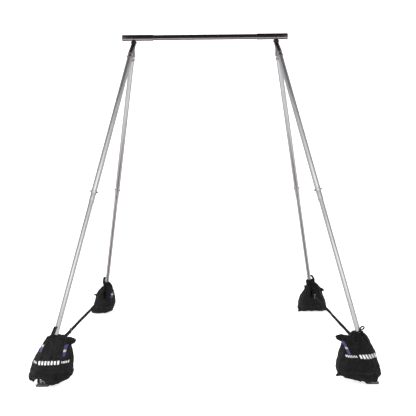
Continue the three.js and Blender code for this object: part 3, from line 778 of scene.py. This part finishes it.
def stitches(name, path, along, outward, length, radius, material):
    """Short raised thread dashes at each point of a path, each with its direction and the surface's normal."""
    points, faces = [], []
    for p, direction, n in zip(path, along, outward):
        side = direction.cross(n).normalized()
        start = len(points)
        for t, swell in ((-0.5, 0.25), (-0.3, 1.0), (0.3, 1.0), (0.5, 0.25)):
            centre = p + direction * (t * length)
            for k in range(6):
                a = math.pi * 2 * k / 6
                points.append(centre + (side * math.cos(a) + n * math.sin(a)) * (radius * swell))
        for ring in range(3):
            for k in range(6):
                a, b = start + ring * 6 + k, start + ring * 6 + (k + 1) % 6
                faces.append((a, b, b + 6, a + 6))
        faces.append(tuple(start + k for k in range(6))[::-1])
        faces.append(tuple(start + 18 + k for k in range(6)))
    mesh = bpy.data.meshes.new(name)
    mesh.from_pydata([tuple(p) for p in points], [], faces)
    mesh.shade_smooth()
    return link(name, mesh, material)


# ---- Tie straps -----------------------------------------------------------------------------------------------
STRAP_HEIGHT, STRAP_HALF_WIDTH, STRAP_THICKNESS = 0.244, 0.019, 0.0024
DOUBLED = {"front_left": (0.250, 0.640), "rear_right": (0.150, 0.270)}
STRAP_START = 0.0235
SIDESTEP, SIDESTEP_FROM, SIDESTEP_FULL = 0.00135, 0.50, 0.40


def make_strap(leg):
    """Half of a tie strap: a loop round the leg, which stays with the leg, and the run to the rig's middle."""
    axis = leg.at(STRAP_HEIGHT)
    ring, turn = 0.0209 + 0.0012, 40
    angles = [2 * math.pi * k / turn for k in range(turn)]
    spokes = [leg.across * math.cos(a) + leg.back * math.sin(a) for a in angles]
    loop = ribbon(
        f"{leg.label}_strap_loop", [axis + s * (ring + STRAP_THICKNESS / 2) for s in spokes],
        [leg.up * STRAP_HALF_WIDTH] * turn, spokes, STRAP_THICKNESS, WEBBING, closed=True,
    )
    hand_over(loop, leg.body("lower_leg"), "webbing")

    start, stop = axis.y - leg.end * STRAP_START, leg.end * 0.0004
    steps = 90

    def sidestep(y):
        """Near the rig's middle the two half straps run side by side, so that one can slide along the other."""
        return leg.end * SIDESTEP * max(0.0, min(1.0, (SIDESTEP_FROM - abs(y)) / (SIDESTEP_FROM - SIDESTEP_FULL)))

    def run(name, y0, y1, offset, half_width, thickness):
        ys = [y0 + (y1 - y0) * k / steps for k in range(steps + 1)]
        path = [Vector((axis.x + offset + sidestep(y), y, STRAP_HEIGHT + 0.0007 * math.sin(y * 21.0))) for y in ys]
        return ribbon(name, path, [Z * half_width] * len(ys), [X] * len(ys), thickness, WEBBING)

    layers = [run(f"{leg.label}_strap_run", start, stop, 0, STRAP_HALF_WIDTH, STRAP_THICKNESS)]
    threads, ways, faces = [], [], []
    spans = [(0.03, 0.11)]
    if leg.label in DOUBLED:
        near, far = DOUBLED[leg.label]
        spans.append((near + 0.02, far - 0.02))
        for sign in (-1, 1):
            layers.append(run("layer", axis.y - leg.end * near, axis.y - leg.end * far, sign * 0.0025, 0.0182, 0.0021))
    for near, far in spans:
        count = int((far - near) / 0.009)
        for k in range(count):
            y = axis.y - leg.end * (near + (k + 0.5) * 0.009)
            for sign in (-1, 1):
                for row in (-0.0145, 0.0145):
                    thick = 0.0035 if near > 0.04 else 0.0012
                    threads.append(Vector((axis.x + sign * thick, y, STRAP_HEIGHT + row)))
                    ways.append(Y)
                    faces.append(X * sign)
    layers.append(stitches("strap_stitch", threads, ways, faces, 0.0062, 0.0005, THREAD))
    strap = merged(f"{leg.label}_strap_webbing", layers)
    hand_over(strap, leg.body("tie"), "webbing", f"{leg.label}_strap")
    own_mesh(strap)


def make_buckle(node, body):
    """A pressed slide buckle: a rounded frame with a middle bar, which the webbing passes through."""
    low, high = (Vector(corner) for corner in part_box(node))
    centre, half = (low + high) / 2, (high - low) / 2
    turned_in = basis(Y, Z, X, centre)
    pieces = []
    for sign in (-1, 1):
        at = basis(Y, Z, X, centre + X * sign * (half.x - 0.0011))
        outer = frame_plate("buckle_plate", half.y, half.z, 0.0034, 0.005, 0.0010, at)
        pieces.append(outer)
    for sign in (-1, 1):
        for z_sign in (-1, 1):
            pin = basis(Y, Z, X, centre + Y * sign * (half.y - 0.0026) + Z * z_sign * (half.z - 0.0024))
            pieces.append(rod("post", 0.0019, -half.x + 0.0004, half.x - 0.0004, ZINC, pin, 0.0005, 20))
    hand_over(merged(f"{node}_frame", pieces), body, "zinc", node)


def frame_plate(name, half_y, half_z, rail, corner, half_thickness, matrix):
    """A rounded rectangular ring with two openings, in the matrix's xy plane."""
    bm = bmesh.new()

    def outline(hy, hz, r, offset_y=0.0):
        pts = []
        for quarter, (sx, sy) in enumerate(((1, 1), (-1, 1), (-1, -1), (1, -1))):
            for k in range(5):
                a = math.pi / 2 * (quarter + k / 4)
                pts.append((offset_y + sx * (hy - r) + math.cos(a) * r, sy * (hz - r) + math.sin(a) * r))
        return pts

    hole_half = (half_y - rail - 0.0012) / 2
    loops = [outline(half_y, half_z, corner)]
    loops += [outline(hole_half - 0.0002, half_z - rail, 0.0014, s * (hole_half + 0.0012)) for s in (-1, 1)]
    edges = []
    for pts in loops:
        verts = [bm.verts.new((x, y, -half_thickness)) for x, y in pts]
        edges += [bm.edges.new((verts[i], verts[(i + 1) % len(verts)])) for i in range(len(verts))]
    filled = bmesh.ops.triangle_fill(bm, use_beauty=True, edges=edges)
    faces = [g for g in filled["geom"] if isinstance(g, bmesh.types.BMFace)]
    pushed = bmesh.ops.extrude_face_region(bm, geom=faces)
    moved = [g for g in pushed["geom"] if isinstance(g, bmesh.types.BMVert)]
    bmesh.ops.translate(bm, verts=moved, vec=(0, 0, half_thickness * 2))
    bmesh.ops.recalc_face_normals(bm, faces=bm.faces)
    mesh = bpy.data.meshes.new(name)
    bm.to_mesh(mesh)
    bm.free()
    mesh.shade_smooth()
    mesh.set_sharp_from_angle(angle=SHARP)
    plate = bevelled(link(name, mesh, ZINC, matrix), 0.0005)
    apply_modifiers(plate)
    return plate


# ---- Sandbags -----------------------------------------------------------------------------------------------
VOXEL = 0.0068
HELD_RADIUS = 0.037
LEG_CLEARANCE = 0.0232

# What each bag shows besides its body. Lengths are metres from the leg's axis: "out" is away from the rig in X,
# "far" is away from the rig in Y, and heights are above the floor. A horn runs through its points with a
# radius at each one; a gather is a pleat at an angle from "out" towards "far", with its depth.
BAGS = {
    "front_left": {
        "horns": [
            {"points": [(-0.060, 0.00, 0.296), (-0.108, 0.006, 0.308), (-0.146, 0.008, 0.312), (-0.178, 0.010, 0.322)], "radii": (0.046, 0.038, 0.030, 0.009)},
            {"points": [(-0.170, 0.02, 0.095), (-0.206, 0.03, 0.086), (-0.222, 0.034, 0.082)], "radii": (0.030, 0.014, 0.006)},
            {"points": [(0.030, 0.02, 0.318), (0.050, 0.026, 0.340), (0.058, 0.028, 0.350)], "radii": (0.018, 0.010, 0.005)},
            {"points": [(-0.112, 0.084, 0.074), (-0.075, 0.094, 0.050), (-0.040, 0.090, 0.046)], "radii": (0.024, 0.029, 0.022)},
        ],
        "pleats": ((66, 0.011), (84, 0.006), (40, 0.005), (112, 0.006), (140, 0.005), (165, 0.004), (10, 0.004)),
        "band": (0.187, ((0.104, 0.066, 0.006, 0.014), (0.058, -0.112, 0.014, 0.025), (-0.120, -0.176, 0.006, 0.014))),
        "labels": ((-0.120, 0.262, -5), (0.068, 0.294, -2)), "lift": (0.012, 0.090, 0.082),
        "handle": {"low": (0.027, 0.031, 0.330), "high": (0.013, 0.028, 0.424), "bulge": 0.0},
    },
    "front_right": {
        "horns": [
            {"points": [(-0.070, 0.00, 0.282), (-0.122, 0.004, 0.314), (-0.160, 0.010, 0.324), (-0.190, 0.014, 0.335)], "radii": (0.042, 0.036, 0.027, 0.008)},
            {"points": [(-0.215, 0.02, 0.092), (-0.252, 0.03, 0.076), (-0.278, 0.036, 0.066)], "radii": (0.034, 0.021, 0.009)},
            {"points": [(-0.130, 0.088, 0.078), (-0.070, 0.096, 0.056), (-0.010, 0.096, 0.052), (0.028, 0.088, 0.066)], "radii": (0.020, 0.027, 0.026, 0.020)},
            {"points": [(0.045, 0.02, 0.130), (0.074, 0.026, 0.108), (0.082, 0.03, 0.096)], "radii": (0.024, 0.015, 0.009)},
            {"points": [(0.030, 0.02, 0.300), (0.046, 0.026, 0.330), (0.044, 0.03, 0.336)], "radii": (0.024, 0.014, 0.010)},
        ],
        "pleats": ((74, 0.012), (58, 0.006), (96, 0.006), (120, 0.005), (150, 0.005), (30, 0.004)),
        "band": (0.211, ((-0.166, -0.080, 0.007, 0.015), (-0.066, 0.080, 0.015, 0.027))),
        "labels": ((-0.140, 0.262, 10),),
        "handle": None,
    },
    "rear_left": {
        "horns": [
            {"points": [(0.080, -0.02, 0.238), (0.112, -0.026, 0.232), (0.136, -0.03, 0.226)], "radii": (0.026, 0.017, 0.007)},
            {"points": [(0.096, -0.09, 0.030), (0.118, -0.10, 0.018), (0.130, -0.104, 0.014)], "radii": (0.022, 0.012, 0.008)},
        ],
        "pleats": ((-88, 0.020), (-60, 0.008), (-112, 0.007), (-36, 0.006), (-135, 0.006), (40, 0.005), (120, 0.006), (75, 0.006)),
        "band": (0.190, ((-0.090, 0.080, 0.017, 0.030),)), "labels": ((-0.088, 0.252, 0),),
        "handle": {"low": (0.034, 0.004, 0.370), "high": (0.036, 0.000, 0.462), "bulge": 0.004},
    },
    "rear_right": {
        "horns": [
            {"points": [(0.120, -0.02, 0.282), (0.146, -0.026, 0.268), (0.158, -0.03, 0.260)], "radii": (0.026, 0.014, 0.006)},
            {"points": [(-0.056, -0.01, 0.300), (-0.070, -0.014, 0.322), (-0.074, -0.016, 0.334)], "radii": (0.020, 0.011, 0.006)},
            {"points": [(-0.170, -0.08, 0.036), (-0.192, -0.09, 0.024), (-0.203, -0.096, 0.018)], "radii": (0.024, 0.013, 0.008)},
            {"points": [(0.140, -0.07, 0.042), (0.156, -0.08, 0.028), (0.164, -0.084, 0.024)], "radii": (0.024, 0.013, 0.008)},
        ],
        "pleats": ((-92, 0.018), (-62, 0.008), (-118, 0.008), (-35, 0.006), (-140, 0.006), (60, 0.006), (110, 0.005), (85, 0.006)),
        "band": (0.196, ((-0.090, 0.100, 0.017, 0.030),)), "labels": ((-0.120, 0.250, 0),),
        "handle": {"low": (0.044, 0.000, 0.372), "high": (0.030, -0.002, 0.464), "bulge": 0.014},
    },
}


def placed(leg, point):
    """A point given as (out, far, height) from the leg's axis, in the rig's frame."""
    out, far, height = point
    axis = leg.at(height)
    return Vector((axis.x + leg.side * out, axis.y + leg.end * far, height))


def horn(points, radii, flatness=0.62):
    """A closed tapering tube through the points, flatter in Y, for the corners that stick out of a bag."""
    fine, widths = [], []
    for k in range(len(points) - 1):
        for s in range(5):
            t = s / 5
            fine.append(points[k].lerp(points[k + 1], t))
            widths.append(radii[k] + (radii[k + 1] - radii[k]) * t)
    fine.append(points[-1])
    widths.append(radii[-1])
    verts, sides = [], 14
    for i, (p, r) in enumerate(zip(fine, widths)):
        along = (fine[min(i + 1, len(fine) - 1)] - fine[max(i - 1, 0)]).normalized()
        deep = (Y - along * along.y).normalized()
        wide = along.cross(deep)
        for j in range(sides):
            a = 2 * math.pi * j / sides
            verts.append(p + wide * (r * math.cos(a)) + deep * (r * flatness * math.sin(a)))
    faces = grid_faces(len(fine), sides)
    faces.append(tuple(range(sides))[::-1])
    faces.append(tuple((len(fine) - 1) * sides + j for j in range(sides)))
    return verts, faces


def bag_blank(leg, spec):
    """The CAD solid's shape with the bag's corners added, remeshed into one even skin and softened."""
    bm = bmesh.new()
    bm.from_mesh(frame["nodes"][f"{leg.label}_sandbag"].data)
    bmesh.ops.remove_doubles(bm, verts=bm.verts, dist=1e-5)
    for item in spec["horns"]:
        verts, faces = horn([placed(leg, p) for p in item["points"]], item["radii"])
        made = [bm.verts.new(v) for v in verts]
        for face in faces:
            bm.faces.new([made[i] for i in face])
    bmesh.ops.recalc_face_normals(bm, faces=bm.faces)
    mesh = bpy.data.meshes.new(f"{leg.label}_bag")
    bm.to_mesh(mesh)
    bm.free()
    bag = link(f"{leg.label}_bag", mesh, NYLON)
    remesh = bag.modifiers.new("skin", "REMESH")
    remesh.mode, remesh.voxel_size, remesh.adaptivity = "VOXEL", VOXEL, 0.0
    smooth = bag.modifiers.new("soften", "SMOOTH")
    smooth.factor, smooth.iterations = 0.5, 7
    apply_modifiers(bag)
    bag.data.shade_smooth()
    return bag


def polar(leg, p):
    """A point's angle round the leg, from "out" towards "far" in degrees, and its level distance from the axis."""
    axis = leg.at(p.z)
    out, far = (p.x - axis.x) * leg.side, (p.y - axis.y) * leg.end
    return math.degrees(math.atan2(far, out)), math.hypot(out, far)


def gather(leg, bag, spec, top):
    """Draws the pleats in towards the leg under the neck, and rumples the sides where the filling has settled."""
    for v in bag.data.vertices:
        angle, distance = polar(leg, v.co)
        if distance < HELD_RADIUS + 0.008:
            continue
        rise = max(0.0, min(1.0, (v.co.z - 0.14) / (top - 0.14)))
        inward = 0.0
        for at, depth in spec["pleats"]:
            wander = at + 5 * math.sin(v.co.z * 19 + at)
            gap = (angle - wander + 180) % 360 - 180
            width = 7.0 + 3.0 * math.sin(at)
            inward += 1.7 * depth * (0.25 + 0.75 * rise) * rise ** 0.5 * math.exp(-((gap / width) ** 2))
            inward -= depth * 0.4 * rise * math.exp(-(((abs(gap) - 2.1 * width) / width) ** 2))
        low = max(0.0, 1 - abs(v.co.z - 0.115) / 0.09)
        rumple = noise.noise(Vector((v.co.x * 9, v.co.y * 9, v.co.z * 34)) + Vector((leg.side * 3, leg.end * 5, 0)))
        inward += 0.0075 * low * rumple
        axis = leg.at(v.co.z)
        spoke = Vector((v.co.x - axis.x, v.co.y - axis.y, 0)).normalized()
        v.co -= spoke * inward


def lift_hem(leg, bag, out, half_width, height):
    """Raises the hem in front of the foot, so that the shoe shows under it."""
    for v in bag.data.vertices:
        axis = leg.at(v.co.z)
        across, far = (v.co.x - axis.x) * leg.side - out, (v.co.y - axis.y) * leg.end
        if far > 0.02 and abs(across) < half_width:
            v.co.z = max(v.co.z, height * (1 - (across / half_width) ** 2) * min(1.0, (far - 0.02) / 0.04))


def crease(leg, bag, seed):
    """Small sharp folds all over the cloth, running mostly up and down and deeper where it hangs loose."""
    mesh = bag.data
    shift = Vector((seed * 7.3, seed * 3.1, seed * 5.7))
    normals = [v.normal.copy() for v in mesh.vertices]
    for v, normal in zip(mesh.vertices, normals):
        _, distance = polar(leg, v.co)
        if distance < HELD_RADIUS + 0.012:
            continue
        long_fold = noise.noise(Vector((v.co.x * 24, v.co.y * 24, v.co.z * 6)) + shift)
        cross_fold = noise.noise(Vector((v.co.x * 11, v.co.y * 11, v.co.z * 30)) - shift)
        low = max(0.0, min(1.0, (0.20 - v.co.z) / 0.12))
        ridge = (1 - abs(long_fold) * 2.6) * (1 - 0.6 * low) + (1 - abs(cross_fold) * 2.6) * (0.35 + 0.65 * low)
        v.co += normal * (0.0055 * (ridge - 0.9))


def held_points(leg, bag):
    """The points that must not swell: round the leg and over the foot."""
    held = []
    for v in bag.data.vertices:
        _, distance = polar(leg, v.co)
        over_foot = v.co.z < leg.foot.z + 0.034 and abs(v.co.x - leg.foot.x) < 0.068 and abs(v.co.y - leg.foot.y) < 0.082
        if distance < HELD_RADIUS or over_foot:
            held.append(v.index)
    return held


def swell(bag, held, cap=0.011):
    """Blows the skin up a little with cloth that is slightly too big for its filling, so that it wrinkles."""
    start = [v.co.copy() for v in bag.data.vertices]
    group = bag.vertex_groups.new(name="held")
    group.add(held, 1.0, "REPLACE")
    cloth = bag.modifiers.new("cloth", "CLOTH")
    settings = cloth.settings
    settings.quality, settings.mass = 5, 0.25
    settings.tension_stiffness = settings.compression_stiffness = 14
    settings.shear_stiffness, settings.bending_stiffness = 5, 0.08
    settings.use_pressure, settings.uniform_pressure_force = True, 4
    settings.shrink_min = -0.075
    settings.vertex_group_mass = "held"
    settings.effector_weights.gravity = 0
    cloth.collision_settings.use_self_collision = False
    cloth.collision_settings.use_collision = False
    for step in range(1, 21):
        bpy.context.scene.frame_set(step)
    bpy.context.view_layer.update()
    done = bag.evaluated_get(bpy.context.evaluated_depsgraph_get()).to_mesh()
    ends = [v.co.copy() for v in done.vertices]
    bag.modifiers.remove(cloth)
    bag.vertex_groups.clear()
    for v, a, b in zip(bag.data.vertices, start, ends):
        move = b - a
        v.co = a + move * min(1.0, cap / max(move.length, 1e-9))
    bpy.context.scene.frame_set(1)


def keep_clear(leg, bag):
    """Moves any point off the leg's tube and above the floor."""
    for v in bag.data.vertices:
        line = v.co - leg.foot
        along = line.dot(leg.up)
        spoke = line - leg.up * along
        if 0.03 < along and spoke.length < LEG_CLEARANCE:
            v.co += spoke.normalized() * (LEG_CLEARANCE - spoke.length)
        v.co.z = max(v.co.z, 0.003)


def surface(bag):
    return BVHTree.FromObject(bag, bpy.context.evaluated_depsgraph_get())


def on_face(leg, tree, facing, out, height, lift):
    """The point at (out, height) on the side of the bag that faces -Y or +Y, lifted off the cloth, and its normal."""
    axis = leg.at(height)
    start = Vector((axis.x + leg.side * out, axis.y + facing * 0.5, height))
    hit, normal, _, _ = tree.ray_cast(start, Vector((0, -facing, 0)))
    return (None, None) if hit is None else (hit + normal * lift, normal)


def on_side(leg, tree, angle, height, lift):
    """The same, but towards the leg's axis from an angle round it."""
    axis = leg.at(height)
    a = math.radians(angle)
    spoke = Vector((leg.side * math.cos(a), leg.end * math.sin(a), 0))
    hit, normal, _, _ = tree.ray_cast(axis + spoke * 0.5, -spoke)
    return (None, None) if hit is None else (hit + normal * lift, normal)


def cloth_patch(name, rows, thickness, material):
    """A thin sewn patch from a grid of lifted surface points."""
    points = [p for row in rows for p in row]
    mesh = mesh_from(name, points, grid_faces(len(rows), len(rows[0]), closed_columns=False))
    patch = link(name, mesh, material)
    solid = patch.modifiers.new("thickness", "SOLIDIFY")
    solid.thickness, solid.offset = thickness, 0
    apply_modifiers(patch)
    return patch


def make_band(leg, tree, height, runs):
    """Reflective slanted marks across the bag's far face: each run goes from one reach to another."""
    patches = []
    for start, stop, wide, tall in runs:
        count = int(abs(stop - start) / (wide * 1.6))
        for k in range(count):
            left = start + (stop - start) * (k + 0.16) / count
            mark = []
            for i in range(6):
                rise = tall * (i / 5 - 0.5)
                row = []
                for j in range(4):
                    out = left + wide * (j / 3) * (1 if stop > start else -1)
                    row.append(on_face(leg, tree, leg.end, out - leg.side * rise * 0.22, height + rise, 0.0008)[0])
                mark.append(row)
            if all(p is not None for row in mark for p in row):
                patches.append(cloth_patch("mark", mark, 0.0009, STRIPE_TAPE))
    return patches


def make_label(leg, tree, out, height, tilt):
    """A woven side label, blue with a pale bar across its middle, sewn on upright."""
    slope = math.tan(math.radians(tilt))
    parts = []
    for low, high, material in ((-0.038, -0.0075, LABEL_BLUE), (-0.0075, 0.0065, LABEL_PALE), (0.0065, 0.038, LABEL_BLUE)):
        rows = []
        for i in range(7):
            w = low + (high - low) * i / 6
            row = [on_face(leg, tree, -1, out - 0.010 + 0.0033 * j - w * slope, height + w, 0.001)[0] for j in range(7)]
            if all(p is not None for p in row):
                rows.append(row)
        if len(rows) > 2:
            parts.append(cloth_patch("label", rows, 0.001, material))
    return parts


def make_seams(leg, tree, spec, top):
    """Felled seams up both sides and round the hem, each a raised fold with a row of stitching beside it."""
    pieces = []
    lines = [[(angle, 0.075 + (top - 0.05 - 0.075) * k / 60) for k in range(61)] for angle in (2, 178)]
    lines.append([(360 * k / 150 - 72, 0.092 + 0.004 * math.sin(k * 0.31)) for k in range(142)])
    for line in lines:
        found = [on_side(leg, tree, angle, height, 0.0004) for angle, height in line]
        found = [(p, n) for p, n in found if p is not None]
        runs, run = [], [found[0]]
        for before, after in zip(found, found[1:]):
            if (after[0] - before[0]).length > 0.02:
                runs.append(run)
                run = []
            run.append(after)
        runs.append(run)
        for run in runs:
            if len(run) < 6:
                continue
            path = [p for p, _ in run]
            path = [path[0]] + [(a + b * 2 + c) / 4 for a, b, c in zip(path, path[1:], path[2:])] + [path[-1]]
            normals = [n for _, n in run]
            ways = [(path[min(i + 1, len(path) - 1)] - path[max(i - 1, 0)]).normalized() for i in range(len(path))]
            widths = [w.cross(n).normalized() * 0.0034 for w, n in zip(ways, normals)]
            pieces.append(ribbon("seam", path, widths, normals, 0.0022, NYLON))
            thread_path = [p + w * 1.9 + n * 0.0004 for p, w, n in zip(path, widths, normals)]
            pieces.append(stitches("seam_stitch", thread_path, ways, normals, 0.0042, 0.0005, THREAD))
    return pieces


def make_handle(leg, spec):
    """The carrying handle: webbing folded double, standing beside the leg."""
    low, high = (placed(leg, p) for p in (spec["low"], spec["high"]))
    forward = Vector((0, -1, 0))
    path, steps = [], 14
    for layer, order in ((0.0, range(steps + 1)), (1.0, range(steps, -1, -1))):
        for k in order:
            t = k / steps
            sway = X * leg.side * spec["bulge"] * math.sin(math.pi * t)
            path.append(low.lerp(high, t) + sway - forward * layer * 0.0042)
        if layer == 0.0:
            path.append(high + (high - low).normalized() * 0.0022 - forward * 0.0021)
    ways = [(path[min(i + 1, len(path) - 1)] - path[max(i - 1, 0)]).normalized() for i in range(len(path))]
    normals = [w.cross(X).normalized() for w in ways]
    widths = [X * 0.0145] * len(path)
    handle = ribbon("handle", path, widths, normals, 0.0022, WEBBING)
    rows, sides, outs = [], [], []
    for k in range(12):
        t = 0.08 + 0.84 * k / 11
        p = low.lerp(high, t) + X * leg.side * spec["bulge"] * math.sin(math.pi * t) + forward * 0.0012
        for x in (-0.011, 0.011):
            rows.append(p + X * x)
            sides.append((high - low).normalized())
            outs.append(forward)
    return [handle, stitches("handle_stitch", rows, sides, outs, 0.005, 0.0005, THREAD)]


def make_neck(leg, top):
    """The drawn neck: a rolled hem that follows the leg, with a flat draw tape knotted round it."""
    pieces = []
    for height, radius, thick in ((top - 0.006, 0.0335, 0.0078), (top - 0.021, 0.0425, 0.0050)):
        axis = leg.at(height)
        points, around, section = [], 72, 10
        for i in range(around):
            a = 2 * math.pi * i / around
            wave_ = 1 + 0.07 * math.sin(5 * a + leg.side) + 0.04 * math.sin(11 * a)
            spoke = leg.across * math.cos(a) + leg.back * math.sin(a)
            centre = axis + spoke * radius * wave_ + leg.up * 0.003 * math.sin(3 * a + leg.end)
            for j in range(section):
                b = 2 * math.pi * j / section
                points.append(centre + spoke * (thick * 0.55 * math.cos(b)) + leg.up * (thick * math.sin(b)))
        material = NYLON if thick > 0.006 else WEBBING
        pieces.append(link("neck", mesh_from("neck", points, grid_faces(around, section, closed_rows=True)), material))
    return pieces


def make_hang_loop(leg, top):
    """A small loop of narrow tape sewn in at the neck, standing up beside the leg."""
    root, centre = placed(leg, (0.020, 0.030, top - 0.004)), placed(leg, (0.031, 0.034, top + 0.032))
    path, count = [], 36
    for k in range(count + 1):
        a = math.pi * 2 * k / count
        along = Vector((leg.side * 0.80, 0, 0.60)).normalized()
        wide = Vector((-leg.side * 0.60, 0, 0.80)).normalized()
        pinch = 1 - math.cos(a)
        path.append(centre - along * (0.020 * math.cos(a)) + wide * (0.015 * math.sin(a) * (0.55 + 0.45 * pinch / 2)) + Y * leg.end * 0.004 * math.sin(a))
    path = [root] + path + [root + Y * 0.003]
    ways = [(path[min(i + 1, len(path) - 1)] - path[max(i - 1, 0)]).normalized() for i in range(len(path))]
    widths = [Y * 0.006] * len(path)
    normals = [w.cross(Y).normalized() for w in ways]
    return [ribbon("hang_loop", path, widths, normals, 0.0085, WEBBING)]


def make_bag(leg):
    spec = BAGS[leg.label]
    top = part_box(f"{leg.label}_sandbag")[1][2]
    bag = bag_blank(leg, spec)
    gather(leg, bag, spec, top)
    swell(bag, held_points(leg, bag))
    crease(leg, bag, 2 + leg.side + 3 * leg.end)
    if "lift" in spec:
        lift_hem(leg, bag, *spec["lift"])
    keep_clear(leg, bag)
    smooth = bag.modifiers.new("rounds", "SUBSURF")
    smooth.levels = smooth.render_levels = 1
    apply_modifiers(bag)
    bag.data.shade_smooth()
    keep_clear(leg, bag)
    tree = surface(bag)
    trims = make_band(leg, tree, *spec["band"])
    for out, height, tilt in spec["labels"]:
        trims += make_label(leg, tree, out, height, tilt)
    trims += make_seams(leg, tree, spec, top)
    trims += make_neck(leg, top)
    if spec["handle"]:
        trims += make_handle(leg, spec["handle"])
    else:
        trims += make_hang_loop(leg, top)
    hand_over(bag, leg.body("lower_leg"), "nylon", f"{leg.label}_sandbag")
    trim = merged(f"{leg.label}_bag_trim", trims)
    hand_over(trim, leg.body("lower_leg"), "webbing")


# ---- Stage -------------------------------------------------------------------------------------------------
def make_stage():
    """A plain pale floor that curves up into a backdrop, lit from soft boxes."""
    width, near, far, height, bend = 14.0, -9.0, 7.0, 9.0, 2.0
    section = [(near, 0.0), (far - bend, 0.0)]
    section += [(far - bend + bend * math.sin(a), bend - bend * math.cos(a)) for a in (math.pi / 2 * k / 12 for k in range(1, 13))]
    section.append((far, height))
    points = [(x, y, z - 0.0005) for y, z in section for x in (-width, width)]
    floor = link("floor", mesh_from("floor", points, grid_faces(len(section), 2, closed_columns=False)), paper())
    floor.visible_glossy = False


def paper():
    s = Shader("paper", Roughness=0.9, Emission_Strength=0.80)
    s.shader.inputs["Emission Color"].default_value = (1, 1, 1, 1)
    s.feed("Base Color", s.ramp(s.noise(3.0), (0.3, (0.80, 0.80, 0.80)), (0.7, (0.82, 0.82, 0.82))))
    return s.material


def soft_box(name, place, target, size, power, mirrored_by=None):
    """An area lamp. A lamp made for some materials lights and is mirrored by nothing else."""
    data = bpy.data.lights.new(name, "AREA")
    data.shape, data.size, data.size_y, data.energy = "RECTANGLE", size[0], size[1], power
    lamp = bpy.data.objects.new(name, data)
    bpy.context.scene.collection.objects.link(lamp)
    lamp.location = place
    lamp.rotation_euler = (Vector(target) - Vector(place)).to_track_quat("-Z", "Y").to_euler()
    lamp.visible_glossy = mirrored_by is not None
    if mirrored_by:
        group = bpy.data.collections.new(f"{name}_sees")
        for piece in bpy.context.scene.objects:
            if piece.type == "MESH" and any(m in mirrored_by for m in piece.data.materials):
                group.objects.link(piece)
        lamp.light_linking.receiver_collection = group


def surroundings():
    """What the metal mirrors: bright walls to the sides, a dim studio ahead and above, a lit floor below."""
    world = bpy.data.worlds.new("studio")
    bpy.context.scene.world = world
    world.use_nodes = True
    tree = world.node_tree
    way = tree.nodes.new("ShaderNodeTexCoord").outputs["Generated"]
    parts = tree.nodes.new("ShaderNodeSeparateXYZ")
    tree.links.new(way, parts.inputs["Vector"])
    level = tree.nodes.new("ShaderNodeMapRange")
    level.inputs["From Min"].default_value = -1.0
    level.inputs["From Max"].default_value = 1.0
    tree.links.new(parts.outputs["Z"], level.inputs["Value"])
    ahead = world_ramp(tree, level.outputs["Result"], (0.0, (0.10, 0.095, 0.095)), (0.5, (0.040, 0.037, 0.037)), (1.0, (0.03, 0.03, 0.031)))
    aside = world_ramp(tree, level.outputs["Result"], (0.15, (0.62, 0.58, 0.59)), (0.5, (0.66, 0.655, 0.66)), (0.72, (0.52, 0.515, 0.52)), (0.92, (0.20, 0.20, 0.20)))
    sideways_share = tree.nodes.new("ShaderNodeMath")
    sideways_share.operation = "ABSOLUTE"
    tree.links.new(parts.outputs["X"], sideways_share.inputs[0])
    share = tree.nodes.new("ShaderNodeMapRange")
    share.inputs["From Min"].default_value = 0.24
    share.inputs["From Max"].default_value = 0.50
    tree.links.new(sideways_share.outputs["Value"], share.inputs["Value"])
    mix = tree.nodes.new("ShaderNodeMix")
    mix.data_type = "RGBA"
    tree.links.new(share.outputs["Result"], mix.inputs["Factor"])
    tree.links.new(ahead, mix.inputs[6])
    tree.links.new(aside, mix.inputs[7])
    tree.links.new(mix.outputs[2], tree.nodes["Background"].inputs["Color"])
    tree.nodes["Background"].inputs["Strength"].default_value = 1.0


def world_ramp(tree, source, *stops):
    made = tree.nodes.new("ShaderNodeValToRGB")
    while len(made.color_ramp.elements) < len(stops):
        made.color_ramp.elements.new(0.5)
    for element, (position, color) in zip(made.color_ramp.elements, stops):
        element.position, element.color = position, (*color, 1)
    tree.links.new(source, made.inputs["Fac"])
    return made.outputs["Color"]


def light():
    surroundings()
    soft_box("key", (-3.0, -4.6, 5.4), (0, 0, 0.4), (1.6, 1.6), 330)
    soft_box("fill", (4.6, -3.6, 2.6), (0, 0, 0.6), (2.6, 3.0), 70)
    soft_box("top", (0, 1.2, 6.6), (0, 0, 0), (4.2, 2.2), 150)
    soft_box("rake", (-3.4, -3.0, 2.8), (0, -1.0, 0.2), (0.8, 1.2), 120, (NYLON,))
    bright = (ALUMINIUM, ZINC)
    soft_box("front_high", (0, -5.6, 6.2), (0, 0, 1.6), (9.0, 4.6), 9.0 * 4.6 * math.pi * 0.7, bright)
    soft_box("front_middle", (0, -6.2, 4.0), (0, -1.0, 1.0), (9.0, 3.0), 9.0 * 3.0 * math.pi * 0.95, bright)
    soft_box("front_low", (0, -3.6, 0.02), (0, -2.6, 3.0), (9.0, 3.6), 9.0 * 3.6 * math.pi * 0.76, bright)
    soft_box("under_bar", (0, -1.1, 0.03), (0, -1.0, 3.0), (6.0, 2.5), 6.0 * 2.5 * math.pi * 0.9, (BLACK_GLOSS,))
    bpy.context.scene.view_settings.view_transform = "Standard"


THREAD = label_cloth("thread", (0.10, 0.10, 0.11), (0.22, 0.22, 0.23))
make_camera()
make_stage()
make_crossbar()
for side in (-1, 1):
    make_head(side)
for leg in LEGS:
    make_socket(leg)
    make_collar(leg)
    make_upper_tube(leg)
    make_clamp(leg)
    make_lower_tube(leg)
    make_foot(leg)
    make_strap(leg)
    make_bag(leg)
for node, label in (("buckle_left_front", "front_left"), ("buckle_left_middle", "front_left"), ("buckle_right_rear", "rear_right")):
    make_buckle(node, f"{label}_tie")
light()
